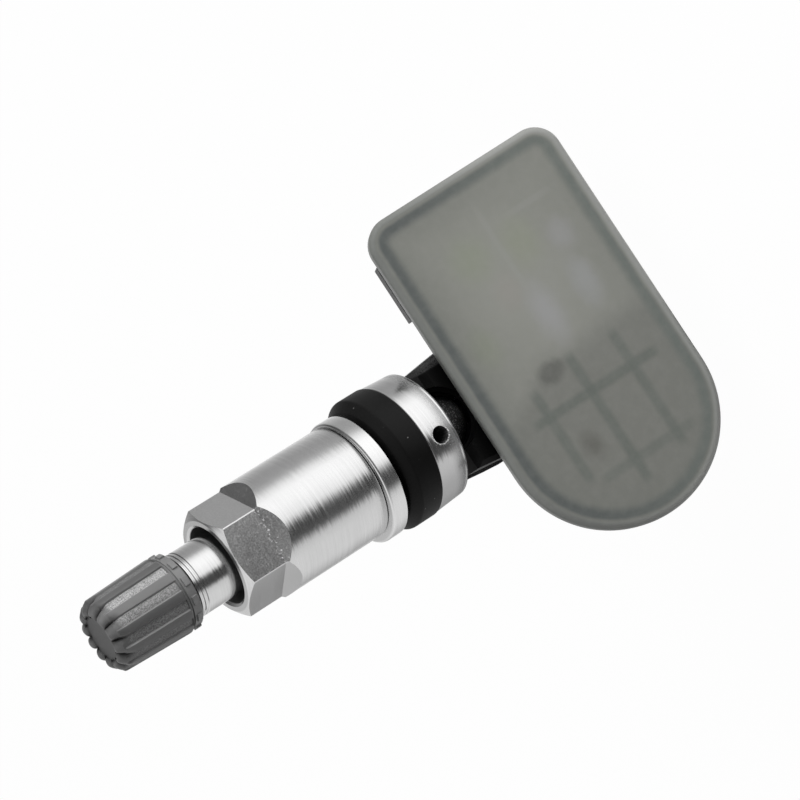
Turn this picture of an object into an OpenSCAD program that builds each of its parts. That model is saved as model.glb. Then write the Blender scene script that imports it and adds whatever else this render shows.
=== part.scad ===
// Tyre pressure sensor: a sensor housing clamped to the ball of a metal clamp-in valve.
// Frame: +Z runs along the valve stem towards its cap, and the origin is on the stem's axis
// in the plane where the rubber grommet meets the rim. The housing's cover faces -Y and up.

/* [Valve stem] */
// Diameter of the stem's barrel, over the screw nut's thread
stem_d = 8.0; // [7.8:0.1:8.4]
// Length of the barrel above the rim seat, up to the foot of the cap's thread
barrel_len = 27.5; // [27:0.1:30]
// Outside diameter of the thread that takes the cap
cap_thread_d = 7.7; // [7.4:0.05:7.8]
// Length of the cap's thread
cap_thread_len = 9.5; // [9:0.1:12]
// Diameter of the drilled ring behind the grommet
flange_d = 16.9; // [16:0.1:18]
// Thickness of the drilled ring
flange_t = 4.2; // [3.8:0.1:5]
// Amount by which the ring narrows towards the housing, on the radius
flange_taper = 0.1; // [0:0.05:0.3]
// Diameter of the hole drilled across the ring to the air passage
pin_hole_d = 2.1; // [1.6:0.1:2.4]
// Angle of that hole about the stem, from the side that the cover faces
pin_hole_angle = 8.8; // [0:0.1:30]
// Diameter of the air passage along the stem
air_d = 3.0; // [2.6:0.1:3.4]

/* [Ball and cradle] */
// Diameter of the ball that the housing swivels on
ball_d = 7.2; // [6.8:0.1:7.4]
// Distance from the ring's back face to the ball's centre
ball_reach = 2.3; // [2.2:0.1:2.8]
// Clearance between the ball and its socket, and between the washer and the cradle
swivel_play = 0.05; // [0.03:0.01:0.08]
// Swivel to each side of the modelled position, in degrees
swivel = 15; // [5:1:15]
// Radius of the cradle's curved back, on which the clamp washer slides
seat_r = 5.0; // [4.8:0.1:5.3]
// Width of the cradle block at its front
cradle_w = 13.7; // [12:0.1:15]
// Angle at which the cradle's cheeks spread towards the housing
cheek_flare = 7; // [0:1:10]
// Height of the cradle block across the stem
cradle_h = 10.0; // [9.6:0.1:10.4]
// How far the cradle block stands in front of the ball's centre
cradle_front = 0.7; // [0.4:0.1:0.8]
// How far the seat reaches round the ball over its centre on that side
seat_hold = 0.4; // [0.3:0.05:0.8]
// Room round the ball in the open side of its seat
seat_slack = 0.24; // [0.2:0.02:0.4]
// Width of the step round that open side
seat_step = 0.42; // [0.3:0.02:0.6]
// Height of that step over the ball's centre
seat_step_z = 2.6; // [1.5:0.1:3.5]
// Width of the bevel on the cradle's front edges
cradle_bevel = 0.6; // [0.3:0.05:1]

/* [Retaining screw] */
// Diameter of the retaining screw's thread
screw_d = 3.0; // [2.6:0.1:3.2]
// Diameter of its head
screw_head_d = 5.0; // [4.6:0.1:5.4]
// Height of its head
screw_head_h = 1.8; // [1.4:0.1:2]
// Depth of its thread in the ball, past the ball's centre
screw_grip = 1.0; // [0.4:0.1:1.4]
// Diameter of the dished clamp washer
clamp_d = 6.0; // [5.6:0.1:6.2]
// Thickness of the clamp washer at its middle
clamp_t = 0.7; // [0.5:0.05:0.8]

/* [Grommet] */
// Diameter of the rim's valve hole, which the grommet's neck fills
rim_hole_d = 11.3; // [11.1:0.1:11.5]
// Length of the neck
neck_len = 4.0; // [3.5:0.1:4.4]
// Diameter of the grommet's flange
grommet_d = 17.1; // [16.4:0.1:18]
// Thickness of the grommet's flange
grommet_t = 4.1; // [3.6:0.1:5]
// Radius of the flange's front edge
grommet_edge = 1.1; // [0.6:0.1:1.4]

/* [Nut and washer] */
// Gap between the grommet and the loose washer, before a rim is clamped there
seat_gap = 0.8; // [0.7:0.1:1]
// Outside diameter of the loose washer
washer_d = 15.7; // [15:0.1:16.4]
// Thickness of the loose washer
washer_t = 2.2; // [1.8:0.1:2.6]
// How far the loose washer hangs to one side
washer_drop = 0.3; // [0:0.05:0.3]
// Outside diameter of the nut's sleeve
sleeve_d = 14.4; // [14.2:0.1:15]
// Length of the sleeve
sleeve_len = 14.5; // [13:0.1:14.6]
// Width across the flats of the hexagon
hex_af = 12.0; // [11.6:0.1:12.2]
// Length of the hexagon
hex_len = 5.05; // [4:0.05:5.1]
// Angle at which the flats run out into the sleeve
flat_runout = 35; // [30:1:60]
// Turn of the hexagon about the stem
hex_turn = -5.4; // [-30:0.1:30]
// Diameter of the nut's open mouth
mouth_d = 9.8; // [9.2:0.1:10.2]
// Depth of the open mouth
mouth_len = 6.1; // [3:0.1:8]
// Depth of the counterbore that clears the grommet's neck
counterbore_len = 5.0; // [4.6:0.1:6]
// Radial play of the nut and the cap on their threads
thread_play = 0.06; // [0.03:0.01:0.09]

/* [Valve cap] */
// Gap between the barrel's end and the cap's skirt
cap_gap = 0.25; // [0.15:0.05:0.5]
// Length of the cap
cap_len = 11.05; // [10.9:0.05:13]
// Diameter of the cap above its skirt
cap_d = 9.6; // [9.4:0.1:10.2]
// Diameter of the cap at its tip
cap_tip_d = 9.0; // [8.9:0.1:9.4]
// Height of the crenellated skirt
skirt_h = 1.5; // [1.2:0.1:2]
// Number of flutes round the cap
flutes = 12; // [8:1:14]
// Width of a flute
flute_w = 1.25; // [0.8:0.05:1.4]
// Depth of a flute
flute_depth = 0.3; // [0.2:0.02:0.32]
// Turn of the flutes about the stem
flute_turn = 3.6; // [0:0.1:30]
// Thickness of the rubber disc in the cap
cap_gasket_t = 0.55; // [0.4:0.05:0.7]

/* [Valve core] */
// Bore of the stem's mouth, where the core screws in
core_bore_d = 5.3; // [5.1:0.05:5.5]
// Depth of the core's head below the stem's rim
core_sunk = 1.0; // [0.6:0.1:1.5]
// Length of the core's head
core_head_len = 4.6; // [4:0.1:5]
// Diameter of the core's barrel
core_d = 2.7; // [2.5:0.1:2.9]
// Length of the core's barrel
core_len = 7.6; // [7:0.1:8.5]
// Diameter of the core's pin
core_pin_d = 0.85; // [0.7:0.05:0.9]
// Travel of the pin
core_travel = 1.5; // [1:0.1:2]
// Turns of the core's spring
spring_turns = 8; // [5:1:10]
// Thickness of the spring's wire
spring_wire = 0.16; // [0.12:0.02:0.18]

/* [Housing and cover] */
// Angle between the stem and the cover's face
face_tilt = 21; // [18:1:24]
// Length of the cover
cover_len = 46.8; // [46:0.2:52]
// Width of the cover
cover_w = 26.0; // [25.6:0.1:29]
// Height of the cover's face above the ball's centre
face_h = 7.0; // [7:0.1:8]
// Depth of the housing's back below the ball's centre
back_h = 6.6; // [6.4:0.1:8]
// Depth of the back at the round end
round_back_h = 2.6; // [2.4:0.1:5]
// Distance from the ball's centre to the cover's near edge
near_edge = 3.8; // [3.6:0.05:4]
// Shift of the housing towards its square end
side_shift = 0.1; // [0:0.1:1]
// Radius of the two corners of the square end
corner_r = 3.3; // [3:0.1:4]
// Height of the cover's edge
cover_edge_h = 2.7; // [2.4:0.1:3]
// Thickness of the cover's plate
cover_plate_t = 1.4; // [1.1:0.1:1.5]
// Thickness of the cover's edge, outside the housing's wall
cover_edge_t = 1.0; // [0.8:0.05:1.3]
// Rounding of the cover's outer edge
cover_round = 0.8; // [0.4:0.1:0.9]
// Thickness of the housing's walls
wall = 0.9; // [0.8:0.05:1.1]
// Gap between pieces that are glued or pressed together
snug = 0.03; // [0.02:0.01:0.06]
// Thickness of the ribs under the cover
rib_t = 0.9; // [0.6:0.1:1.1]
// Height of the ribs under the cover
rib_h = 1.2; // [0.8:0.1:1.2]
// Spacing of the three ribs that run lengthways
rib_pitch = 5.65; // [5:0.05:6]
// Spacing of the two ribs that run across
cross_pitch = 9.35; // [8:0.05:10]

/* [Electronics] */
// Room that the coin cell leaves between the screw's trough and the round end
cell_room = 1.05; // [0.8:0.05:1.6]
// Thickness of the coin cell
cell_t = 3.2; // [2.5:0.1:3.2]
// Thickness of the circuit board
board_t = 0.8; // [0.6:0.1:0.9]
// Space between the board's top and the cover's plate
board_room = 1.55; // [1.5:0.05:1.6]
// Thickness of the battery tabs
tab_t = 0.2; // [0.1:0.05:0.25]
// Width of the battery tabs
tab_w = 3.0; // [2:0.1:3.4]
// Width of the pressure chip
chip_w = 4.4; // [4:0.1:5]
// Height of the pressure chip
chip_h = 1.8; // [1.4:0.1:2.2]
// Bore of the pressure port
port_d = 1.5; // [1:0.1:1.8]

/* [Hidden] */
$fn = 64;
eps = 0.01;
// Reach of cuts that run out past the whole part
past = 100;

// Stations along the stem
flange_z = -grommet_t;
flange_back_z = flange_z - flange_t;
pivot_z = flange_back_z - ball_reach;
pin_hole_z = flange_z - flange_t / 2;
washer_z = seat_gap;
sleeve_z = washer_z + washer_t;
hex_z = sleeve_z + sleeve_len;
nut_top_z = hex_z + hex_len;
rim_z = barrel_len + cap_thread_len;
skirt_z = barrel_len + cap_gap;
cap_top_z = skirt_z + cap_len;

// Valve core, hung from the stem's rim
head_top_z = rim_z - core_sunk;
head_z = head_top_z - core_head_len;
core_foot_z = head_z - core_len;
cone_z = head_z - 2.4;
seal_h = 1.1;
core_chamber_d = 4.0;
chamber_z = core_foot_z - seal_h - core_travel - 1;
core_wall = 0.4;
core_lip_h = 0.5;
collar_z = head_z - 1.4;
collar_h = 0.4;
collar_d = core_d - 2 * core_wall - 0.2;
pin_top_z = rim_z - 0.3;

// Retaining screw, measured below the ball's centre
ball_r = ball_d / 2;
socket_r = ball_r + swivel_play;
clamp_in_r = seat_r + swivel_play;
head_at = clamp_in_r + clamp_t;
head_end = head_at + screw_head_h;
thread_bore_end = screw_grip + 0.8;
shank_slack = 0.15;
swing = 0.3;
trough_hw = clamp_d / 2 + swing;
zone_end = head_end + 0.4;
roof_y = -(head_at * sin(swivel) + clamp_d / 2 * cos(swivel) + swing);
channel_y = -(screw_head_d / 2 + 0.5);

// Housing, in its own frame: x lengthways, y towards the stem, z out of the cover's face
y_near = -near_edge;
y_mid = y_near - cover_w / 2;
x_end = side_shift + cover_len / 2;
x_round = side_shift - cover_len / 2 + cover_w / 2;
plate_z = face_h - cover_plate_t;
edge_z = face_h - cover_edge_h;
shell_inset = cover_edge_t + snug;
cavity_inset = shell_inset + wall;
floor_t = 1.2;
board_z = plate_z - board_room - board_t;
board_top = board_z + board_t;
board_gap = 0.35;
board_x = -3.5;
notch_hw = trough_hw + wall + 0.5;
notch_y = -7.7;
post_r = 1.1;
post_clear = 2.8;
post_x = [trough_hw + wall + post_r + 0.7, x_end - cavity_inset - 3.4];
post_y = [y_near - cavity_inset - post_clear, y_near - cover_w + cavity_inset + post_clear];

// Coin cell beside the screw's trough, with its seat ring
cell_edge_x = -(trough_hw + wall) - 0.1;
cell_d = cell_edge_x - (x_end - cover_len + cavity_inset) - cell_room;
cell_x = cell_edge_x - cell_d / 2;
cell_z = board_z - 0.4 - cell_t;
cell_seat_r = cell_d / 2 - 0.6;
tab_y = y_mid + 2.5;
tab_from_x = cell_x + 0.9;
tab_to_x = -1.8;
low_tab_y = y_mid - 4.2;
low_tab_x = -2.4;

// Pressure port in the back, under the pressure chip
port_x = on_board(0.648, 0.33).x;
port_y = on_board(0.648, 0.33).y;
boss_d = 4.4;
boss_top = board_z - chip_h - 1.1;
port_gasket_d = 3.6;
filter_d = 3.4;
filter_t = 0.3;
filter_recess = 0.6;

// Ribs under the cover: they lie over the cell
rib_x = [-5.8, -5.8 - cross_pitch];
rib_from_x = -1.0;
rib_to_x = x_end - cover_len + cavity_inset + 2.4;

// Small pieces on the board's top, and where they stand
part_z = board_top + snug;
radio_at = on_board(0.485, 0.53);
radio_size = [5, 5, 0.9];
crystal_at = on_board(0.556, -0.554);
crystal_size = [3.2, 2.5, 0.8];
coil_x = on_board(0.33, -0.285).x;
coil_y = on_board(0.33, -0.285).y;
coil_len = 7.8;
coil_head = 1.2;
coil_w = 3.2;
coil_h = 1.35;
antenna_y = y_mid;
antenna_from_x = on_board(0.448, 0).x;
antenna_to_x = on_board(0.848, 0).x;
antenna_h = 1.3;
capacitor_at = [on_board(0.196, 0.03), on_board(0.196, -0.154), on_board(0.744, -0.446),
    on_board(0.789, -0.231), on_board(0.256, 0.4), on_board(0.722, 0.63)];
capacitor_size = [1.0, 1.8, 0.8];

// Lug on the stem's side of the housing
lug_x = x_end - 11.6;
lug_w = 7.4;
lug_z = 0.6;
lug_h = 3.0;
lug_stands = 0.05;

// Place on the board: f runs from its inner end to the square end, g from its middle line
// to the long sides
function on_board(f, g) = [board_x + f * (x_end - board_x), y_mid + g * cover_w / 2];

function along(a, r) = [-sin(a) * r, -cos(a) * r];
function aside(a, r) = [-cos(a) * r, sin(a) * r];

// Places its children in the housing's own frame
module in_housing() {
    translate([0, 0, pivot_z]) rotate([90 - face_tilt, 0, 0]) children();
}

// Extrudes a y-z outline along x, centred
module across(width) {
    rotate([90, 0, 90]) linear_extrude(width, center = true) children();
}

// D-shaped outline of the cover, drawn in by inset
module d_outline(inset) {
    r_end = cover_w / 2 - inset;
    r_corner = corner_r - inset;
    x_max = x_end - inset;
    translate([x_round, y_mid]) circle(r_end);
    translate([x_round, y_mid - r_end]) square([x_max - r_corner - x_round, 2 * r_end]);
    translate([x_max - r_corner - eps, y_mid - r_end + r_corner])
        square([r_corner + eps, 2 * (r_end - r_corner)]);
    for (side = [-1, 1])
        translate([x_max - r_corner, y_mid + side * (r_end - r_corner)]) circle(r_corner);
}

// Bevelled ring, tube or disc from z0 up to z1
module turned(r, z0, z1, bevel0 = 0, bevel1 = 0) {
    rotate_extrude() polygon([[0, z0], [r - bevel0, z0], [r, z0 + bevel0], [r, z1 - bevel1],
        [r - bevel1, z1], [0, z1]]);
}

module bore(r, z0, z1) {
    translate([0, 0, z0]) cylinder(r = r, h = z1 - z0);
}

module cone(r0, r1, z0, z1) {
    translate([0, 0, z0]) cylinder(r1 = r0, r2 = r1, h = z1 - z0);
}

// Valve stem: cap thread, barrel with two fine rings, drilled ring and ball
module valve_stem() {
    edge = 0.25;
    groove = 0.12;
    stem_r = stem_d / 2;
    thread_r = cap_thread_d / 2;
    flange_r = flange_d / 2;
    chamber_r = core_chamber_d / 2;
    color("silver") difference() {
        union() {
            rotate_extrude() polygon([
                [0, flange_back_z],
                [flange_r - flange_taper - edge, flange_back_z],
                [flange_r - flange_taper, flange_back_z + edge],
                [flange_r, flange_z - edge],
                [flange_r - edge, flange_z],
                [stem_r, flange_z],
                [stem_r, barrel_len - 1.4],
                [stem_r - groove, barrel_len - 1.3],
                [stem_r - groove, barrel_len - 1.1],
                [stem_r, barrel_len - 1.0],
                [stem_r, barrel_len - 0.7],
                [stem_r - groove, barrel_len - 0.6],
                [stem_r - groove, barrel_len - 0.4],
                [stem_r, barrel_len - 0.3],
                [stem_r, barrel_len - 0.1],
                [stem_r - 0.1, barrel_len],
                [thread_r - 0.3, barrel_len],
                [thread_r - 0.3, barrel_len + 0.5],
                [thread_r, barrel_len + 0.8],
                [thread_r, rim_z - 0.5],
                [thread_r - 0.5, rim_z],
                [0, rim_z]]);
            translate([0, 0, pivot_z]) sphere(ball_r);
        }
        bore(core_bore_d / 2, cone_z + 1.2, rim_z + 1);
        cone(chamber_r, core_bore_d / 2, cone_z, cone_z + 1.2 + eps);
        bore(chamber_r, chamber_z, cone_z + eps);
        bore(air_d / 2, pin_hole_z - pin_hole_d / 2, chamber_z + eps);
        bore(screw_d / 2 + snug, pivot_z - ball_d, pivot_z + thread_bore_end);
        translate([0, 0, pin_hole_z]) rotate([90, 0, -pin_hole_angle])
            cylinder(r = pin_hole_d / 2, h = flange_d);
    }
}

// Rubber grommet: flange with a rounded front edge, and the neck that fills the rim's hole
module grommet() {
    r = grommet_d / 2;
    neck_r = rim_hole_d / 2;
    steps = 5;
    color([0.12, 0.12, 0.13]) difference() {
        rotate_extrude() polygon(concat(
            [[0, -grommet_t], [r - 0.25, -grommet_t], [r - 0.1, -grommet_t + 0.15]],
            [for (i = [0 : steps]) let (a = 90 * i / steps)
                [r - grommet_edge + grommet_edge * cos(a), -grommet_edge + grommet_edge * sin(a)]],
            [[neck_r, 0], [neck_r, neck_len - 0.4], [neck_r - 0.4, neck_len], [0, neck_len]]));
        bore(stem_d / 2 + snug, -grommet_t - 1, neck_len + 1);
    }
}

// Screw nut: turned sleeve with a bevelled hexagon milled into its front end
module screw_nut() {
    edge = 0.3;
    outer_r = sleeve_d / 2;
    face_r = hex_af / 2 - 0.15;
    bevel_h = (outer_r - face_r) * tan(30);
    rise = outer_r - hex_af / 2 + edge;
    runout_z = hex_z - rise / tan(flat_runout);
    color("silver") difference() {
        rotate_extrude() polygon([[0, sleeve_z], [outer_r - edge, sleeve_z],
            [outer_r, sleeve_z + edge], [outer_r, nut_top_z - bevel_h], [face_r, nut_top_z],
            [0, nut_top_z]]);
        for (i = [0 : 5])
            rotate([0, 0, hex_turn + 30 + 60 * i]) rotate([90, 0, 0])
                linear_extrude(sleeve_d, center = true) polygon([[hex_af / 2, nut_top_z + edge],
                    [hex_af / 2, hex_z], [hex_af / 2 + rise, runout_z],
                    [sleeve_d, runout_z], [sleeve_d, nut_top_z + edge]]);
        bore(stem_d / 2 + thread_play, sleeve_z - 1, nut_top_z + 1);
        bore(mouth_d / 2, nut_top_z - mouth_len, nut_top_z + 1);
        cone(mouth_d / 2, mouth_d / 2 + 0.35, nut_top_z - 0.3, nut_top_z + eps);
        bore(rim_hole_d / 2 + 0.25, sleeve_z - 1, sleeve_z + counterbore_len);
    }
}

// Loose washer behind the nut, which hangs to one side
module nut_washer() {
    inner_r = rim_hole_d / 2 + washer_drop + 0.1;
    color([0.8, 0.8, 0.8]) translate([-washer_drop, 0, 0]) difference() {
        turned(washer_d / 2, washer_z, sleeve_z, 0.2, 0.35);
        bore(inner_r, washer_z - 1, sleeve_z + 1);
    }
}

// Valve cap: tapered plastic cap with flutes, a notched tip and a crenellated skirt
module valve_cap() {
    r = cap_d / 2;
    tip_r = cap_tip_d / 2;
    skirt_top = skirt_z + skirt_h;
    round_h = 1.2;
    bore_r = cap_thread_d / 2 + thread_play;
    ceiling_z = rim_z + 0.05 + cap_gasket_t + 0.05;
    side_lean = atan((r - tip_r) / (cap_top_z - round_h - skirt_top));
    color([0.33, 0.33, 0.33]) difference() {
        union() {
            rotate_extrude() polygon(concat(
                [[0, skirt_z], [r - 0.35, skirt_z], [r - 0.2, skirt_z + 0.15],
                    [r - 0.2, skirt_top - 0.35], [r - 0.4, skirt_top - 0.3],
                    [r - 0.4, skirt_top - 0.1], [r - 0.15, skirt_top], [r, skirt_top + 0.15]],
                [for (i = [0 : 6]) let (a = 75 * i / 6)
                    [tip_r - round_h + round_h * cos(a), cap_top_z - round_h + round_h * sin(a)]],
                [[tip_r - 1.6, cap_top_z], [tip_r - 2.0, cap_top_z - 0.12], [0, cap_top_z - 0.12]]));
            for (i = [0 : flutes - 1])
                rotate([0, 0, flute_turn - 90 + 360 * i / flutes])
                    translate([r - 0.8, -flute_w / 2 + 0.1, skirt_z + 0.25])
                        cube([0.8, flute_w - 0.2, 0.7]);
        }
        for (i = [0 : flutes - 1])
            rotate([0, 0, flute_turn - 90 + 360 * i / flutes]) {
                translate([r - flute_depth, 0, skirt_top]) rotate([0, -side_lean, 0])
                    translate([0, -flute_w / 2, 0]) cube([2, flute_w, cap_len]);
                translate([tip_r - 0.05, 0, cap_top_z - 1.3]) rotate([0, -40, 0])
                    rotate([0, 0, -45]) cube([2, 2, 4]);
            }
        bore(bore_r, skirt_z - 1, ceiling_z);
        cone(bore_r + 0.3, bore_r, skirt_z - eps, skirt_z + 0.3);
    }
}

// Rubber disc that the stem's rim presses on, with a hole over the core's pin
module cap_gasket() {
    low = rim_z + 0.05;
    color([0.15, 0.15, 0.15]) difference() {
        bore(cap_thread_d / 2 - 0.05, low, low + cap_gasket_t);
        bore(1.3, low - 1, low + cap_gasket_t + 1);
    }
}

// Threaded plug that holds the core in the stem, with two flats for the key
module core_head() {
    r = core_bore_d / 2 - snug;
    flat_h = 1.6;
    color([0.72, 0.58, 0.3]) difference() {
        turned(r, head_z, head_top_z, 0.4, 0.2);
        for (side = [-1, 1])
            translate([-r, side > 0 ? 1.2 : -1.2 - r, head_top_z - flat_h])
                cube([2 * r, r, flat_h + 1]);
        bore(core_pin_d / 2 + 0.1, head_z - 1, head_top_z + 1);
    }
}

// Sleeve of the core, with an inner lip at its foot that carries the spring
module core_barrel() {
    color([0.75, 0.62, 0.34]) difference() {
        bore(core_d / 2, core_foot_z, head_z);
        bore(core_d / 2 - core_wall, core_foot_z + core_lip_h, head_z + 1);
        bore(core_pin_d / 2 + 0.2, core_foot_z - 1, head_z);
    }
}

// Tapered ring round the core's sleeve, pressed on the stem's inner cone
module core_gasket() {
    cone_h = 1.2;
    r_low = core_chamber_d / 2 - snug;
    r_high = core_bore_d / 2 - snug;
    color([0.85, 0.84, 0.78]) difference() {
        rotate_extrude() polygon([[0, cone_z - 0.3], [r_low, cone_z - 0.3], [r_low, cone_z],
            [r_high, cone_z + cone_h], [r_high, head_z - snug], [0, head_z - snug]]);
        bore(core_d / 2 + snug, cone_z - 1, head_z + 1);
    }
}

// Pin through the core, with the collar that the spring lifts
module core_pin() {
    r = core_pin_d / 2;
    color([0.7, 0.7, 0.72]) union() {
        turned(r, core_foot_z - seal_h + 0.2, pin_top_z, 0.05, 0.15);
        bore(collar_d / 2, collar_z, collar_z + collar_h);
    }
}

// Rubber seal on the pin's foot, closed against the core's sleeve
module core_seal() {
    color([0.2, 0.2, 0.2]) difference() {
        turned(core_chamber_d / 2 - 0.45, core_foot_z - seal_h, core_foot_z - 0.05, 0.2, 0.2);
        bore(core_pin_d / 2 + snug, core_foot_z - seal_h + 0.2 - snug, core_foot_z + 1);
    }
}

// Spring of the core, a round wire wound between the sleeve's lip and the pin's collar
module core_spring() {
    sides = 6;
    per_turn = 14;
    wire_r = spring_wire / 2;
    coil_r = collar_d / 2 - wire_r;
    low = core_foot_z + core_lip_h + wire_r + 0.02;
    high = collar_z - wire_r - 0.02;
    rings = spring_turns * per_turn;
    points = [for (i = [0 : rings], k = [0 : sides - 1])
        let (a = 360 * i / per_turn, b = 360 * k / sides, r = coil_r + wire_r * cos(b))
        [r * cos(a), r * sin(a), low + (high - low) * i / rings + wire_r * sin(b)]];
    walls = [for (i = [0 : rings - 1], k = [0 : sides - 1])
        let (n = (k + 1) % sides)
        [i * sides + k, i * sides + n, (i + 1) * sides + n, (i + 1) * sides + k]];
    color([0.6, 0.6, 0.62]) polyhedron(points = points, faces = concat(walls,
        [[for (k = [sides - 1 : -1 : 0]) k]], [[for (k = [0 : sides - 1]) rings * sides + k]]));
}

// Screw that pulls the ball into the cradle, with a six-lobed recess
module retaining_screw() {
    head_r = screw_head_d / 2;
    color([0.75, 0.75, 0.77]) translate([0, 0, pivot_z]) difference() {
        union() {
            turned(screw_d / 2, -head_at - eps, screw_grip, 0, 0.4);
            rotate_extrude() polygon([[0, -head_at], [head_r, -head_at],
                [head_r, -head_at - 0.9], [head_r - 0.25, -head_at - 1.35],
                [head_r - 0.9, -head_end], [0, -head_end]]);
        }
        for (i = [0 : 2])
            rotate([0, 0, 60 * i]) translate([-1.25, -0.35, -head_end - 1]) cube([2.5, 0.7, 2.1]);
        bore(0.85, -head_end - 1, -head_end + 1.1);
    }
}

// Dished washer under the screw's head, which slides on the cradle's curved back
module clamp_washer() {
    color([0.65, 0.65, 0.67]) translate([0, 0, pivot_z]) difference() {
        bore(clamp_d / 2, -head_at + snug, 0);
        rotate([0, 90, 0]) cylinder(r = clamp_in_r, h = past, center = true);
        bore(screw_d / 2 + snug, -past, past);
    }
}

// Outer form of the housing: the D outline under a sloped back
module shell_form(inset, lift) {
    back = -back_h + lift;
    x_low = x_round - cover_w / 2;
    intersection() {
        translate([0, 0, back]) linear_extrude(plate_z - snug - back) d_outline(inset);
        rotate([90, 0, 0]) linear_extrude(2 * past, center = true) polygon([
            [x_low - 1, plate_z], [x_low - 1, -round_back_h + lift], [-trough_hw - 5, back],
            [x_end - 4.5, back], [x_end - 1.2, -back_h / 2 + lift], [x_end + 1, 0],
            [x_end + 1, plate_z]]);
        across(2 * past) polygon([
            [y_near, plate_z], [y_near, 0], [y_near - inset, 0], [y_near - inset - 2.0, back],
            [y_near - cover_w + inset + 5.5, back], [y_near - cover_w + inset, -0.6],
            [y_near - cover_w, 0], [y_near - cover_w, plate_z]]);
    }
}

// Space for the clamp washer, the screw's head and the driver, open at the back.
// It is drawn along the stem, with grow as the thickness of a wall round it.
module screw_trough(grow) {
    difference() {
        across(2 * (trough_hw + grow)) polygon([
            [roof_y - grow, -seat_r / 2], [roof_y - grow, -zone_end - grow],
            [channel_y - grow, -zone_end - grow], [channel_y - grow, -past], [past, -past],
            [past, -seat_r / 2]]);
        rotate([0, 90, 0]) cylinder(r = seat_r, h = past, center = true);
    }
}

// Cradle block, drawn along the stem round the ball's centre
module cradle_block() {
    half = cradle_h / 2;
    bevel = 0.8;
    depth = 7.0;
    spread = depth * tan(cheek_flare);
    difference() {
        cradle_form(half, bevel, depth, spread);
        for (side = [-1, 1])
            translate([side * cradle_w / 2, -half, cradle_front])
                rotate([0, -side * cheek_flare, 0]) rotate([0, 0, 45])
                    cube([cradle_bevel * sqrt(2), cradle_bevel * sqrt(2), past], center = true);
    }
}

// Plain form of the cradle block
module cradle_form(half, bevel, depth, spread) {
    intersection() {
        across(past) polygon([[-half, cradle_front - bevel], [-half + bevel, cradle_front],
            [half - bevel, cradle_front], [half, cradle_front - bevel], [half, -4.5],
            [half - 1.5, -depth], [-half, -depth]]);
        rotate([90, 0, 0]) linear_extrude(past, center = true) polygon([
            [-cradle_w / 2, cradle_front], [cradle_w / 2, cradle_front],
            [cradle_w / 2 + spread, cradle_front - depth], [cradle_w / 2 + spread, -past],
            [-cradle_w / 2 - spread, -past], [-cradle_w / 2 - spread, cradle_front - depth]]);
    }
}

// Open side of the ball's seat, which faces as the cover does, with a step round it
module seat_window() {
    translate([0, 0, seat_hold]) cylinder(r = socket_r + seat_slack, h = past);
    translate([0, 0, seat_step_z]) cylinder(r = socket_r + seat_slack + seat_step, h = past);
}

// Slot in the cradle's back, in which the screw's shank swings
module shank_slot() {
    r = screw_d / 2 + shank_slack;
    reach = seat_r + 2;
    a = swivel + 0.5;
    across(2 * r) polygon([along(a, 2.5) + aside(a, r), along(a, reach) + aside(a, r),
        along(-a, reach) - aside(-a, r), along(-a, 2.5) - aside(-a, r)]);
}

// Housing: moulded tray with the cradle, the screw's trough, posts and the pressure port
module housing() {
    color([0.1, 0.1, 0.11]) in_housing() difference() {
        union() {
            difference() {
                shell_form(shell_inset, 0);
                difference() {
                    cavity_form();
                    rotate([face_tilt - 90, 0, 0]) screw_trough(wall);
                }
            }
            intersection() {
                shell_form(shell_inset, 0);
                union() {
                    for (x = post_x, y = post_y)
                        translate([x, y, -back_h]) cylinder(r = post_r, h = back_h + board_z);
                    difference() {
                        translate([cell_x, y_mid, -back_h])
                            cylinder(r = cell_seat_r, h = back_h + cell_z);
                        translate([cell_x, y_mid, -back_h - 1])
                            cylinder(r = cell_seat_r - wall, h = back_h + cell_z + 2);
                        translate([cell_x, low_tab_y - tab_w / 2 - 0.3, cell_z - 1.2])
                            cube([cell_d, tab_w + 0.6, 3]);
                    }
                    translate([port_x, port_y, -back_h])
                        cylinder(r = boss_d / 2, h = back_h + boss_top);
                }
            }
            rotate([face_tilt - 90, 0, 0]) cradle_block();
            side_lug();
        }
        rotate([face_tilt - 90, 0, 0]) {
            screw_trough(0);
            sphere(socket_r);
            bore(socket_r + 0.1, 0, past);
            shank_slot();
        }
        seat_window();
        translate([port_x, port_y, -back_h - 1]) cylinder(r = port_d / 2, h = past);
        translate([port_x, port_y, -back_h - 1])
            cylinder(r = filter_d / 2 + 0.1, h = 1 + filter_recess);
    }
}

// Hollow of the tray
module cavity_form() {
    shell_form(cavity_inset, floor_t);
    translate([0, 0, plate_z - floor_t]) linear_extrude(past) d_outline(cavity_inset);
}

// Small lug on the stem's side of the housing
module side_lug() {
    root = 0.5;
    translate([lug_x, y_near - shell_inset - root, lug_z])
        cube([lug_w, shell_inset + root - lug_stands, lug_h]);
}

// Cover: translucent plate with a rounded edge over the tray's wall, ribbed underneath
module cover() {
    color([0.55, 0.56, 0.53], 0.9) in_housing() {
        difference() {
            hull() {
                cover_puck(x_round, y_mid, cover_w / 2, 120);
                for (side = [-1, 1])
                    cover_puck(x_end - corner_r, y_mid + side * (cover_w / 2 - corner_r),
                        corner_r, 48);
            }
            translate([0, 0, edge_z - 1]) linear_extrude(plate_z - edge_z + 1)
                d_outline(cover_edge_t);
        }
        cover_ribs();
    }
}

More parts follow.
